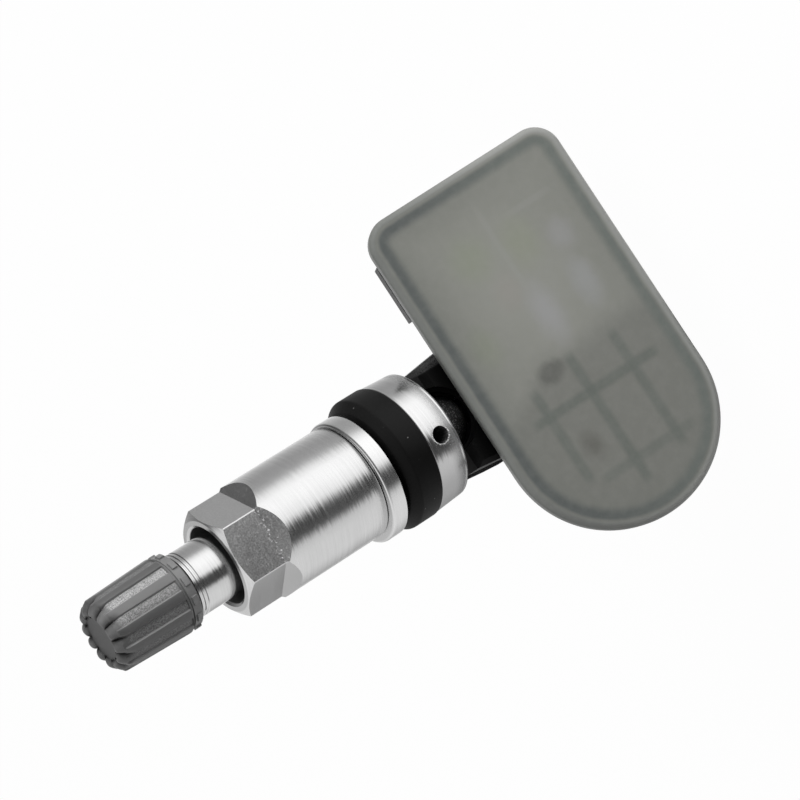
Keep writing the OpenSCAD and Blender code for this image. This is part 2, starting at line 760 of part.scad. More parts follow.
// Rounded disc that one corner of the cover is drawn from
module cover_puck(x, y, r, sides) {
    small = 0.25;
    translate([x, y, 0]) rotate_extrude($fn = sides) polygon(concat(
        [[0, edge_z], [r - small, edge_z], [r, edge_z + small]],
        [for (i = [0 : 5]) let (a = 90 * i / 5)
            [r - cover_round + cover_round * cos(a), face_h - cover_round + cover_round * sin(a)]],
        [[0, face_h]]));
}

// Ribs under the cover: three lengthways and two across, over the coin cell
module cover_ribs() {
    intersection() {
        translate([0, 0, plate_z - rib_h]) linear_extrude(rib_h + eps)
            d_outline(cavity_inset + 0.3);
        union() {
            for (k = [-1 : 1])
                translate([rib_to_x, y_mid + k * rib_pitch - rib_t / 2, plate_z - rib_h])
                    cube([rib_from_x - rib_to_x, rib_t, rib_h + 1]);
            for (x = rib_x)
                translate([x - rib_t / 2, y_near - cover_w, plate_z - rib_h])
                    cube([rib_t, cover_w - cavity_inset - 3, rib_h + 1]);
        }
    }
}

// Circuit board in the square half, with a notch that clears the trough's roof
module circuit_board() {
    inset = cavity_inset + board_gap;
    color([0.12, 0.42, 0.22]) in_housing() difference() {
        translate([0, 0, board_z + snug]) linear_extrude(board_t - snug) intersection() {
            d_outline(inset);
            translate([board_x, -past]) square([past, 2 * past]);
        }
        translate([-notch_hw, notch_y, board_z - board_t]) cube([2 * notch_hw, past, 3 * board_t]);
    }
}

// Coin cell: can, rim step and insulated cap
module coin_cell() {
    r = cell_d / 2;
    color([0.78, 0.78, 0.76]) in_housing() translate([cell_x, y_mid, cell_z + snug])
        rotate_extrude() polygon([[0, 0], [r - 1.6, 0], [r - 1.4, 0.2], [r - 0.5, 0.2],
            [r - 0.25, 0.35], [r, 0.6], [r, cell_t - 0.3], [r - 0.3, cell_t - snug],
            [0, cell_t - snug]]);
}

// Sheet-metal tab on the cell's top, stepped up to the board
module top_tab() {
    low = cell_z + cell_t + snug;
    high = board_top + snug;
    step_x = board_x - 0.5;
    color([0.7, 0.7, 0.68]) in_housing() {
        intersection() {
            translate([0, tab_y, 0]) rotate([90, 0, 0]) linear_extrude(tab_w, center = true)
                polygon([[tab_from_x - tab_w, low], [step_x, low], [step_x, high],
                    [tab_w, high], [tab_w, high + tab_t], [step_x - tab_t, high + tab_t],
                    [step_x - tab_t, low + tab_t], [tab_from_x - tab_w, low + tab_t]]);
            translate([0, 0, cell_z]) linear_extrude(past) union() {
                for (x = [tab_from_x, tab_to_x]) translate([x, tab_y]) circle(tab_w / 2);
                translate([tab_from_x, tab_y - tab_w / 2])
                    square([tab_to_x - tab_from_x, tab_w]);
            }
        }
    }
}

// Sheet-metal tab under the cell, bent up to the board's underside
module bottom_tab() {
    low = cell_z - tab_t;
    high = board_z - tab_t;
    color([0.7, 0.7, 0.68]) in_housing() translate([0, low_tab_y, 0]) rotate([90, 0, 0])
        linear_extrude(tab_w, center = true) polygon([[cell_x + 1, low], [low_tab_x, low],
            [low_tab_x, high], [low_tab_x + 2.5, high], [low_tab_x + 2.5, high + tab_t],
            [low_tab_x - tab_t, high + tab_t], [low_tab_x - tab_t, low + tab_t],
            [cell_x + 1, low + tab_t]]);
}

// Bevelled block that stands on z0, with its middle at x, y
module chip(x, y, z0, size, bevel = 0.15) {
    translate([x, y, z0]) {
        translate([-size.x / 2, -size.y / 2, 0]) cube([size.x, size.y, size.z - bevel]);
        translate([-size.x / 2 + bevel, -size.y / 2 + bevel, 0])
            cube([size.x - 2 * bevel, size.y - 2 * bevel, size.z]);
    }
}

// Pressure chip under the board, over the port
module pressure_chip() {
    color([0.2, 0.2, 0.22]) in_housing() difference() {
        translate([port_x, port_y, board_z - snug]) mirror([0, 0, 1])
            chip(0, 0, 0, [chip_w, chip_w, chip_h]);
        translate([port_x, port_y, board_z - chip_h - 1]) cylinder(r = 0.5, h = 1.6);
    }
}

// Rubber ring between the port's boss and the pressure chip
module port_gasket() {
    low = boss_top + snug;
    high = board_z - chip_h - 2 * snug;
    color([0.14, 0.14, 0.14]) in_housing() translate([port_x, port_y, 0]) difference() {
        bore(port_gasket_d / 2, low, high);
        bore(port_d / 2, low - 1, high + 1);
    }
}

// Breathing membrane in the port's recess
module port_filter() {
    color([0.92, 0.92, 0.9]) in_housing() translate([port_x, port_y, 0])
        bore(filter_d / 2, -back_h + filter_recess - filter_t, -back_h + filter_recess - snug);
}

module radio_chip() {
    color([0.1, 0.1, 0.1]) in_housing() chip(radio_at.x, radio_at.y, part_z, radio_size);
}

module crystal() {
    color([0.82, 0.82, 0.82]) in_housing()
        chip(crystal_at.x, crystal_at.y, part_z, crystal_size);
}

// Ferrite core of the wake-up coil: a bar with two square heads
module coil_core() {
    color([0.32, 0.3, 0.33]) in_housing() {
        for (side = [-1, 1])
            chip(coil_x, coil_y + side * (coil_len - coil_head) / 2, part_z,
                [coil_w, coil_head, coil_h], 0.08);
        translate([coil_x - coil_w / 4, coil_y - (coil_len - coil_head) / 2, part_z + coil_h / 4])
            cube([coil_w / 2, coil_len - coil_head, coil_h / 2]);
    }
}

// Winding of the coil, between the core's heads
module coil_winding() {
    low = part_z + 0.12;
    span = coil_len - 2 * coil_head - 0.1;
    height = coil_h - 0.24;
    color([0.62, 0.5, 0.52]) in_housing() difference() {
        translate([coil_x, coil_y, low + height / 2]) rotate([90, 0, 0])
            linear_extrude(span, center = true) union() {
                square([coil_w - 1.1, height], center = true);
                for (side = [-1, 1])
                    translate([side * (coil_w / 2 - 0.55), 0]) circle(height / 2);
            }
        translate([coil_x - coil_w / 4 - snug, coil_y - coil_len, part_z + coil_h / 4 - snug])
            cube([coil_w / 2 + 2 * snug, 2 * coil_len, coil_h / 2 + 2 * snug]);
    }
}

// Antenna: a metal strip on edge with two bent feet
module antenna() {
    strip = 0.4;
    foot = 1.2;
    foot_t = 0.2;
    lift = 0.35;
    color([0.8, 0.8, 0.78]) in_housing() translate([0, antenna_y, part_z]) {
        translate([antenna_from_x, -strip / 2, lift])
            cube([antenna_to_x - antenna_from_x, strip, antenna_h - lift]);
        for (x = [antenna_from_x, antenna_to_x - foot]) translate([x, -strip / 2, 0]) {
            cube([foot, strip, antenna_h]);
            cube([foot, foot, foot_t]);
        }
    }
}

// Small ceramic capacitors on the board's top
module capacitors() {
    color([0.66, 0.6, 0.52]) in_housing() for (p = capacitor_at)
        chip(p.x, p.y, part_z, capacitor_size, 0.08);
}

valve_cap();
cap_gasket();
valve_stem();
core_head();
core_barrel();
core_gasket();
core_pin();
core_seal();
core_spring();
screw_nut();
nut_washer();
grommet();
retaining_screw();
clamp_washer();
housing();
cover();
circuit_board();
coin_cell();
top_tab();
bottom_tab();
pressure_chip();
port_gasket();
port_filter();
radio_chip();
crystal();
coil_core();
coil_winding();
antenna();
capacitors();
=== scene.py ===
# %% [markdown]
# # A tyre pressure sensor on its metal valve
# A sensor housing hangs on the ball of a turned aluminium valve stem. The solid model gives every
# piece its size and its place. This script gives the pieces that show a finer surface, gives every
# piece its finish, and sets up the camera and the light of the photograph.

import math

import bmesh
import bpy
import numpy as np
from mathutils import Euler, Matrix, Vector


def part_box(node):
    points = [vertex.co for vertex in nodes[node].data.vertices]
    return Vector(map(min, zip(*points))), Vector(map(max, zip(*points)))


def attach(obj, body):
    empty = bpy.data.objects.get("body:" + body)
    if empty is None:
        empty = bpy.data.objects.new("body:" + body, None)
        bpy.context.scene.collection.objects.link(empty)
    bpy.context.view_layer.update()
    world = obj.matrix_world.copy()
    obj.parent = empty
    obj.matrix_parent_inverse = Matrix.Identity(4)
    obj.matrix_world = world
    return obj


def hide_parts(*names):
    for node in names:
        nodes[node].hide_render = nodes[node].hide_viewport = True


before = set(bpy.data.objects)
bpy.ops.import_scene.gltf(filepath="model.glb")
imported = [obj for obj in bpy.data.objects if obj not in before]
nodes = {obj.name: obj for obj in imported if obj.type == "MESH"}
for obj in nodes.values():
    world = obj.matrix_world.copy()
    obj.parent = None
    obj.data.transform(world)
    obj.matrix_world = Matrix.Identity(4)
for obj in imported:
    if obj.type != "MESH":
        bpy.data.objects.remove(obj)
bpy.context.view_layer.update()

# %% [markdown]
# Everything below is thought out in millimetres and handed to Blender in metres. A small helper
# reads the box of a node back from the frame, so that a new surface starts from the size of the
# piece that it stands for.

# %% Units and boxes
MM = 0.001


def node_box(name):
    """Lowest and highest corner of a node at rest, in millimetres."""
    low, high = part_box(name)
    return np.array(low) / MM, np.array(high) / MM


stem_high = node_box("valve_stem")[1]
nut_low, nut_high = node_box("screw_nut")
cap_low, cap_high = node_box("valve_cap")
washer_low, washer_high = node_box("nut_washer")
grommet_low, grommet_high = node_box("grommet")
print("the stem reaches", stem_high.round(2))

# %% [markdown]
# The photograph looks down on the cover almost squarely, with a long lens, and is turned so that
# the valve points to the lower left. The place and turn below were fitted to the rims of the ring,
# the nut and the cap and to the outline of the cover.

# %% Camera
camera_place = np.array([-8.519, -283.830, 137.858])
camera_turn = (-45.731, 49.010, -146.368)
camera_lens = 122.3


def set_all(thing, **values):
    """Sets several properties of one of Blender's things."""
    for key, value in values.items():
        setattr(thing, key, value)


def put_in_scene(name, data):
    """Makes an object of a mesh, a lamp or a camera and links it to the scene."""
    made = bpy.data.objects.new(name, data)
    bpy.context.scene.collection.objects.link(made)
    return made


camera_data = bpy.data.cameras.new("camera")
set_all(camera_data, lens=camera_lens, sensor_width=36, clip_start=0.01, clip_end=20)
camera = put_in_scene("camera", camera_data)
camera.location = camera_place * MM
camera.rotation_euler = Euler([math.radians(a) for a in camera_turn], "XYZ")
bpy.context.scene.camera = camera
bpy.context.scene.view_settings.view_transform = "Standard"
print("camera at", camera.location)

# %% [markdown]
# A finish is a small graph of shader nodes. Written as boxes and links it is hard to read, so one
# class wraps a socket and lets Python's own signs add the Math nodes. Another holds the tree of a
# material or of the world, and has one method for every other kind of node.


# %% Shader sums written as Python
class Wire:
    """An output socket that takes part in sums: each sign adds the Math node of that name."""

    def __init__(self, graph, socket):
        self.graph = graph
        self.socket = socket

    def math(self, operation, *others):
        sockets = dict(enumerate((self, *others)))
        return self.graph.node("ShaderNodeMath", {"operation": operation}, sockets)

    def also(self, output):
        """Another output of the same node."""
        return Wire(self.graph, self.socket.node.outputs[output])

    def __add__(self, other):
        return self.math("ADD", other)

    def __sub__(self, other):
        return self.math("SUBTRACT", other)

    def __mul__(self, other):
        return self.math("MULTIPLY", other)

    def __truediv__(self, other):
        return self.math("DIVIDE", other)

    def __abs__(self):
        return self.math("ABSOLUTE")

    def __rsub__(self, other):
        return self.math("MULTIPLY", -1.0) + other

    __radd__ = __add__
    __rmul__ = __mul__


class Graph:
    """The tree of shader nodes of a material or of the world."""

    def __init__(self, owner):
        owner.use_nodes = True
        self.tree = owner.node_tree

    def feed(self, node, key, value):
        """Sets or links the input of a node that has this name, identifier or number."""
        if isinstance(key, int):
            socket = node.inputs[key]
        else:
            wanted = key.replace("_", " ").lower()
            socket = next(s for s in node.inputs
                          if wanted in (s.name.lower(), s.identifier.replace("_", " ").lower()))
        if isinstance(value, Wire):
            self.tree.links.new(value.socket, socket)
        else:
            socket.default_value = value

    def node(self, kind, settings=None, sockets=None, output=0):
        """Adds a node, sets it, feeds its inputs and returns one of its outputs."""
        made = self.tree.nodes.new(kind)
        settings = dict(settings or {})
        set_stops(made, settings.pop("stops", ()))
        set_all(made, **settings)
        for key, value in (sockets or {}).items():
            self.feed(made, key, value)
        return Wire(self, made.outputs[output])


class Finish(Graph):
    """A material with a Principled shader."""

    def __init__(self, name, **plain):
        self.material = bpy.data.materials.new(name)
        super().__init__(self.material)
        self.shader = self.tree.nodes["Principled BSDF"]
        self.paint(**plain)

    def paint(self, **inputs):
        """Feeds the Principled shader, by the names of its inputs."""
        for key, value in inputs.items():
            self.feed(self.shader, key, value)
        return self

    def show(self, surface):
        """Puts another shader in front of the Principled one."""
        self.feed(self.tree.nodes["Material Output"], "Surface", surface)


def set_stops(node, stops):
    """Gives a colour ramp its stops, each a place and a grey level."""
    for index, (place, level) in enumerate(stops):
        elements = node.color_ramp.elements
        if index == 0:
            elements.remove(elements[-1])
        element = elements.new(place) if index else elements[0]
        set_all(element, position=place, color=(level, level, level, 1))


print("shader helpers ready")


# %% [markdown]
# A few kinds of node come up in every finish: the piece's own coordinates, a soft step, a noise
# and a mix of two colours. Each gets a short helper. Object coordinates are used throughout, as
# every piece has its place in its mesh: a pattern then stays on its piece when the piece moves.


# %% Helpers for colours and coordinates
def rgb(red, green, blue):
    """A colour from its levels on a screen, 0 to 255, as the linear values that a shader takes."""
    level = np.array([red, green, blue]) / 255
    linear = np.where(level <= 0.04045, level / 12.92, ((level + 0.055) / 1.055) ** 2.4)
    return (*linear.tolist(), 1.0)


def grey(level):
    return rgb(level, level, level)


def coordinates(finish, stretch=(1, 1, 1)):
    """The piece's own coordinates in millimetres, each times its stretch."""
    sockets = {"Vector": finish.node("ShaderNodeTexCoord", output=3),
               "Scale": [value / MM for value in stretch]}
    return finish.node("ShaderNodeMapping", {"vector_type": "POINT"}, sockets)


def split(vector):
    """The x, y and z of a vector."""
    x = vector.graph.node("ShaderNodeSeparateXYZ", sockets={0: vector})
    return x, x.also(1), x.also(2)


def length(x, y):
    """The length of a step by x and y: the root of the sum of their squares."""
    return (x * x + y * y).math("SQRT")


def mark(finish, name):
    """The value that a piece's mesh keeps at each point under this name."""
    return finish.node("ShaderNodeAttribute", {"attribute_name": name}, output=2)


# %% Helpers for patterns
def rise(value, low, high):
    """A soft step from 0 at low to 1 at high."""
    sockets = {"Value": value, "From Min": low, "From Max": high}
    return value.graph.node("ShaderNodeMapRange", {"interpolation_type": "SMOOTHSTEP"}, sockets)


def fall(value, low, high):
    """A soft step from 1 at low to 0 at high."""
    return 1 - rise(value, low, high)


def noise(place, scale, detail, roughness=0.5):
    """Noise from 0 to 1 with features about 1 / scale apart."""
    sockets = {"Vector": place, "Scale": scale, "Detail": detail, "Roughness": roughness}
    return place.graph.node("ShaderNodeTexNoise", sockets=sockets)


def spots(place, scale):
    """The distance to the nearest of many scattered points, which lie about 1 / scale apart."""
    settings = {"feature": "F1", "distance": "EUCLIDEAN"}
    return place.graph.node("ShaderNodeTexVoronoi", settings, {"Vector": place, "Scale": scale})


def blend(factor, first, second):
    """The first colour where the factor is 0 and the second where it is 1."""
    sockets = {"Factor_Float": factor, "A_Color": first, "B_Color": second}
    return factor.graph.node("ShaderNodeMix", {"data_type": "RGBA"}, sockets, output=2)


def bump(height, distance, strength=1.0, normal=None):
    """A normal bent by a height from 0 to 1 that stands for a distance in millimetres."""
    sockets = {"Height": height, "Distance": distance * MM, "Strength": strength}
    if normal is not None:
        sockets["Normal"] = normal
    return height.graph.node("ShaderNodeBump", sockets=sockets)


print("pattern helpers ready")

# %% [markdown]
# The photograph stands on pure white with no shadow to speak of. The floor glows for the camera
# and for reflections alone, up to white, and keeps a little of its own diffuse light, so that a
# faint shadow stays. It lies a little below the part, so that the housing can swing.

# %% Floor
floor_z = -44.0
floor_half = 4000.0
floor_glow = 0.975


def mesh_of(name, points, faces):
    """A mesh from points in millimetres and the corners of its faces."""
    mesh = bpy.data.meshes.new(name)
    mesh.from_pydata((points.reshape(-1, 3) * MM).tolist(), [], faces.tolist())
    return mesh


def pale_rays(graph):
    """1 for what the camera sees, directly, mirrored or through clear plastic, 0 for other rays."""
    seen = graph.node("ShaderNodeLightPath", output="Is Camera Ray")
    return seen + (seen.also("Is Glossy Ray") + seen.also("Is Transmission Ray"))


floor_corners = np.array([[-1, -1], [1, -1], [1, 1], [-1, 1]]) * floor_half
floor_mesh = mesh_of("floor", np.column_stack([floor_corners, np.full(4, floor_z)]),
                     np.array([[0, 1, 2, 3]]))
floor = put_in_scene("floor", floor_mesh)

floor_white = Finish("floor_white", base_color=grey(244), roughness=0.9)
glow = floor_white.node("ShaderNodeEmission", sockets={"Strength": 1.0})
body = Wire(floor_white, floor_white.shader.outputs[0])
share = pale_rays(floor_white) * floor_glow
floor_white.show(floor_white.node("ShaderNodeMixShader", sockets={0: share, 1: body, 2: glow}))
floor_mesh.materials.append(floor_white.material)
print("floor at", floor_z, "mm")

# %% [markdown]
# The light is plain: an even pale sky for the diffuse light, and one wide lamp from the side of
# the square end, which gives the cap's ribs and the housing their lit and shaded sides.

# %% Sky and key lamp
sky_level = 0.30
key_from = Vector((0.80, -0.46, 0.39))
key_distance = 0.75
key_size = 0.55
key_power = 6.2

world = bpy.data.worlds.new("studio")
bpy.context.scene.world = world
sky = Graph(world)
level = sky.node("ShaderNodeMapRange", sockets={"Value": pale_rays(sky), "To Min": sky_level})
background = sky.tree.nodes["Background"]
sky.feed(background, "Color", (1, 1, 1, 1))
sky.feed(background, "Strength", level)

key_data = bpy.data.lights.new("key", "AREA")
set_all(key_data, size=key_size, energy=key_power)
key = put_in_scene("key", key_data)
key.location = key_from.normalized() * key_distance
key.rotation_euler = key_from.to_track_quat("Z", "Y").to_euler()
key.visible_glossy = False
print("key lamp at", key.location)

# %% [markdown]
# A turned or moulded piece is a profile carried round the stem: one number counts the stations of
# the profile, another the angle. The helpers below turn a profile into such a grid of points, and
# a grid into faces.


# %% From a profile to a grid
def full_turn(columns):
    """The angles of so many columns, evenly spaced round the stem."""
    return np.linspace(0, 2 * np.pi, columns, endpoint=False)


def carried_round(radius, height, angle):
    """Points at each angle: x and y are the radius times its cosine and sine, z is the height.
    Radius and height are given by station, or by station and column."""
    shape = (len(radius), len(angle))
    radius = np.broadcast_to(radius.reshape(len(radius), -1), shape)
    height = np.broadcast_to(height.reshape(len(height), -1), shape)
    return np.stack([radius * np.cos(angle), radius * np.sin(angle), height], axis=-1)


def lathe(profile, columns):
    """The grid of a profile of (radius, height) that is the same all round."""
    return carried_round(profile[:, 0], profile[:, 1], full_turn(columns))


def arc(centre, radius, start, end, steps):
    """Points (radius, height) on part of a circle: its centre plus the circle's radius times the
    cosine and sine, from one angle to another in degrees."""
    angle = np.radians(np.linspace(start, end, steps))
    return np.column_stack([centre[0] + radius * np.cos(angle), centre[1] + radius * np.sin(angle)])


def grid_faces(stations, columns, loop_stations=False):
    """The corners of each face between neighbours. Columns close round, and stations if asked."""
    last = stations if loop_stations else stations - 1
    row, column = np.meshgrid(np.arange(last), np.arange(columns), indexing="ij")
    beyond, after = (row + 1) % stations, (column + 1) % columns
    return np.stack([row * columns + column, row * columns + after,
                     beyond * columns + after, beyond * columns + column], axis=-1).reshape(-1, 4)


print("grid helpers ready")

# %% [markdown]
# Bare metal shows little but what it mirrors. A standing cylinder seen from above mirrors what
# lies low round it, and each band of light on the sleeve, the ring and the stem is one sector of
# that surround. So a bowl of soft panels stands round the part, seen by mirror rays alone. Its
# levels were worked out from the bands in the photograph: bright towards the lamp, a dark flag in
# front, pale panels further round. A second set of levels stands higher up, where the sloped ends
# of the flats look, and the bowl's top is pale for the bevels.

# %% Bowl of panels that only metal sees
bowl_z = floor_z + 0.5
bowl_radius = 620.0
bowl_half = 450.0
bowl_columns = 96
panel_gain = 1.6
low_panels = [
    (0.000, 0.45), (0.048, 0.42), (0.104, 0.54), (0.159, 0.74), (0.215, 1.20), (0.270, 1.30),
    (0.300, 0.70), (0.326, 0.42), (0.381, 0.66), (0.437, 0.90), (0.548, 0.92), (0.605, 0.84),
    (0.622, 0.45), (0.638, 0.07), (0.712, 0.07), (0.730, 0.55), (0.750, 1.25), (0.826, 1.48),
    (0.890, 1.48), (0.925, 1.15), (0.955, 0.60), (0.985, 0.45),
]
high_panels = [
    (0.00, 0.12), (0.10, 0.08), (0.19, 0.42), (0.30, 0.80), (0.45, 1.00), (0.56, 0.80),
    (0.64, 0.20), (0.70, 0.08), (0.76, 0.14), (0.86, 0.30), (0.94, 0.24),
]
overhead = 1.02 / panel_gain

inner = np.array([[12.0, bowl_z], [150.0, bowl_z], [400.0, bowl_z]])
sweep = np.linspace(-math.pi / 2 + 0.25, math.pi / 2, 24)
outer = np.column_stack([bowl_radius * np.cos(sweep),
                         (bowl_z + bowl_half) + bowl_half * np.sin(sweep)])
bowl_points = lathe(np.vstack([inner, outer]), bowl_columns)
bowl_mesh = mesh_of("panel_bowl", bowl_points, grid_faces(*bowl_points.shape[:2]))
bowl = put_in_scene("panel_bowl", bowl_mesh)
for ray_kind in ("camera", "diffuse", "transmission", "volume_scatter", "shadow"):
    setattr(bowl, "visible_" + ray_kind, False)

panels = Finish("panels")
x, y, z = split(coordinates(panels))
sector = (y.math("ARCTAN2", x) / (2 * math.pi) + 1).math("FRACT")
slope = z / length(x, y)


def panel_ring(levels):
    """The grey level in each direction round the part."""
    stops = [(place, level / panel_gain) for place, level in levels]
    return panels.node("ShaderNodeValToRGB", {"stops": stops}, {0: sector})


tone = blend(rise(slope, -0.12, 0.14), panel_ring(low_panels), panel_ring(high_panels))
tone = blend(rise(slope, 1.1, 2.2), tone, (overhead, overhead, overhead, 1.0))
panels.show(panels.node("ShaderNodeEmission", sockets={"Color": tone, "Strength": panel_gain}))
bowl_mesh.materials.append(panels.material)
print("bowl of", len(bowl_mesh.polygons), "faces")

# %% [markdown]
# The grid of a piece becomes a mesh, the points that fall together on the axis are welded, and the
# faces are made to look outwards. Then the piece gets its material, its body and the node that it
# stands for.


# %% From a grid to a finished piece
def grid_piece(name, points, loop_stations=False, marks=None):
    """A piece from points[station, column] in millimetres, with the values to keep at each."""
    grid = points.shape[:2]
    mesh = mesh_of(name, points, grid_faces(*grid, loop_stations))
    for key, values in (marks or {}).items():
        attribute = mesh.attributes.new(key, "FLOAT", "POINT")
        values = np.broadcast_to(values, grid).astype(np.float32)
        attribute.data.foreach_set("value", values.ravel())
    work = bmesh.new()
    work.from_mesh(mesh)
    bmesh.ops.remove_doubles(work, verts=work.verts, dist=2e-7)
    bmesh.ops.dissolve_degenerate(work, dist=1e-7, edges=work.edges)
    bmesh.ops.recalc_face_normals(work, faces=work.faces)
    work.to_mesh(mesh)
    work.free()
    smooth(mesh)
    return put_in_scene(name, mesh)


def smooth(mesh, crease=32.0):
    """Shades smooth, except where faces meet at more than an angle in degrees."""
    mesh.shade_smooth()
    mesh.set_sharp_from_angle(angle=math.radians(crease))


def dress(piece, body, slot, finish, *stands_for):
    """Gives a finished piece its material, its body and the nodes that it stands for."""
    piece.data.materials.clear()
    piece.data.materials.append(finish.material)
    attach(piece, body)
    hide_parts(*stands_for)
    print(piece.name, "has", len(piece.data.polygons), "faces")


print("piece helpers ready")

# %% [markdown]
# Turned aluminium is not a perfect mirror. The tool leaves a fine thread of lines round the piece,
# and each line throws the light a little to one side, so that the border between a bright and a
# dark band looks combed. Two stretched noises do this: one varies from line to line and tips the
# normal sideways, the other bends it by bump and varies the roughness.


# %% Turned aluminium
def in_world(finish, direction):
    """A direction of the piece as a direction in the world, so that it moves with the piece."""
    settings = {"vector_type": "VECTOR", "convert_from": "OBJECT", "convert_to": "WORLD"}
    return finish.node("ShaderNodeVectorTransform", settings, {0: direction})


def round_about(finish):
    """The direction round the stem at each point, as a world vector of length 1."""
    x, y, z = split(coordinates(finish))
    around = finish.node("ShaderNodeCombineXYZ", sockets={0: y * -1.0, 1: x, 2: 0.0})
    unit = finish.node("ShaderNodeVectorMath", {"operation": "NORMALIZE"}, {0: around})
    return in_world(finish, unit)


def tipped(direction, amount):
    """The surface's normal, tipped towards a direction by an amount in radians."""
    graph = direction.graph
    sockets = {0: direction, "Scale": amount}
    turn = graph.node("ShaderNodeVectorMath", {"operation": "SCALE"}, sockets)
    plain = graph.node("ShaderNodeNewGeometry", output=1)
    bent = graph.node("ShaderNodeVectorMath", {"operation": "ADD"}, {0: plain, 1: turn})
    return graph.node("ShaderNodeVectorMath", {"operation": "NORMALIZE"}, {0: bent})


def turned_aluminium(name, tone=212, roughness=0.23, pitch=0.12, sideways=0.045):
    """Bare turned metal: tone is its colour, pitch the spacing of its lines in millimetres."""
    finish = Finish(name, metallic=1.0)
    lines = noise(coordinates(finish, (0.05, 0.05, 1 / pitch)), 1.0, 0.0)
    cloud = noise(coordinates(finish, (0.25, 0.25, 0.6)), 1.0, 3.0)
    normal = tipped(round_about(finish), (lines - 0.5) * sideways)
    finish.metal = blend(lines * 0.5 + cloud * 0.5, grey(tone - 14), grey(tone + 8))
    finish.rough = lines * 0.10 + cloud * 0.08 + (roughness - 0.09)
    finish.bent = bump(lines, 0.004, 0.5, normal)
    return finish.paint(base_color=finish.metal, roughness=finish.rough, normal=finish.bent)


print("turned aluminium ready")

# %% [markdown]
# The valve stem is one turned piece: the ball that the housing swivels on, the drilled ring, the
# barrel with two fine rings by the cap, and the cap's thread. Its profile starts on the axis in
# the screw's bore, runs round the ball and up the outside, and comes back down the bore. The
# thread is a helical groove: at each point the profile's height is compared with the angle.

# %% Valve stem, sizes
stem_columns = 192
stem_r = 4.0
ring_r = stem_high[0]
ring_low, ring_high = -8.3, -4.1
ring_taper = 0.27
ring_edge = 0.2
ring_back_edge = 0.07
pivot_z = -10.6
ball_r = 3.6
screw_r = 1.53
screw_bore_z = pivot_z + 1.8
barrel_end = 27.5
groove_depth = 0.12
thread_r = 3.85
thread_pitch = 0.794
thread_depth = 0.42
rim_z = stem_high[2]
core_r = 2.65
chamber_r = 2.0
air_r = 1.5
cone_z = 29.0
chamber_z = 20.2
hole_z = (ring_low + ring_high) / 2
hole_r = 1.05
hole_turn = math.radians(8.8)
print("thread of", round((rim_z - barrel_end) / thread_pitch, 1), "turns")

# %% Valve stem, surface
ball_start = -math.degrees(math.acos(screw_r / ball_r))
ball_end = math.degrees(math.asin((ring_low - pivot_z) / ball_r))
ball = arc((0, pivot_z), ball_r, ball_start, ball_end, 28)
ring = np.vstack([
    [[ring_r - ring_taper - ring_back_edge, ring_low]],
    [[ring_r - ring_taper, ring_low + ring_back_edge]],
    arc((ring_r - ring_edge, ring_high - ring_edge), ring_edge, 4, 86, 5),
])
groove = np.array([[0, 0], [-groove_depth, 0.09], [-groove_depth, 0.22], [0, 0.31]])
grooves = np.vstack([groove + [0, -1.06], groove + [0, -0.56], [[0, -0.1], [-0.1, 0]]])
barrel = np.vstack([[[stem_r, ring_high + 0.02]], grooves + [stem_r, barrel_end]])
foot = np.array([[thread_r - 0.3, barrel_end], [thread_r - 0.3, barrel_end + 0.5]])
thread_z = np.arange(barrel_end + 0.8, rim_z - 0.5, thread_pitch / 12)
thread = np.column_stack([np.full(len(thread_z), thread_r), thread_z])
mouth = np.array([[thread_r - 0.5, rim_z], [core_r, rim_z], [core_r, cone_z + 1.2],
                  [chamber_r, cone_z], [chamber_r, chamber_z], [air_r, chamber_z],
                  [air_r, hole_z - hole_r], [0, hole_z - hole_r]])
stem_profile = np.vstack([[[0, screw_bore_z], [screw_r, screw_bore_z]], ball, ring, barrel, foot,
                          thread, mouth])
first = len(stem_profile) - len(mouth) - len(thread)
stem_angle = full_turn(stem_columns)
phase = (thread_z[:, None] / thread_pitch - stem_angle[None, :] / (2 * np.pi)) % 1.0
ridge = np.clip(1.25 - np.abs(phase - 0.5) * 4, 0, 1)
run_in = np.clip((thread_z - thread_z[0]) / 0.5, 0, 1)
run_out = np.clip((thread_z[-1] - thread_z) / 0.4, 0, 1)
stem_radius = np.repeat(stem_profile[:, :1], stem_columns, axis=1)
stem_radius[first:first + len(thread)] -= thread_depth * (1 - ridge) * (run_in * run_out)[:, None]
valve_stem = grid_piece("turned_stem", carried_round(stem_radius, stem_profile[:, 1], stem_angle))
print("stem profile of", len(stem_profile), "stations")

# %% [markdown]
# The pin hole goes in from the side of the ring to the air passage. It is cut with a boolean: the
# cutter is a lathe form of its own, a drill with a slight flare where it enters, laid along the
# hole's axis.


# %% Pin hole
def cut_away(piece, cutter):
    """Takes the cutter's volume out of the piece and deletes the cutter."""
    cut = piece.modifiers.new("cut", "BOOLEAN")
    set_all(cut, object=cutter, operation="DIFFERENCE", solver="EXACT")
    bpy.context.view_layer.update()
    graph = bpy.context.evaluated_depsgraph_get()
    mesh = bpy.data.meshes.new_from_object(piece.evaluated_get(graph))
    piece.modifiers.clear()
    old = piece.data
    piece.data = mesh
    mesh.name = piece.name
    bpy.data.meshes.remove(old)
    bpy.data.objects.remove(cutter)
    smooth(mesh)


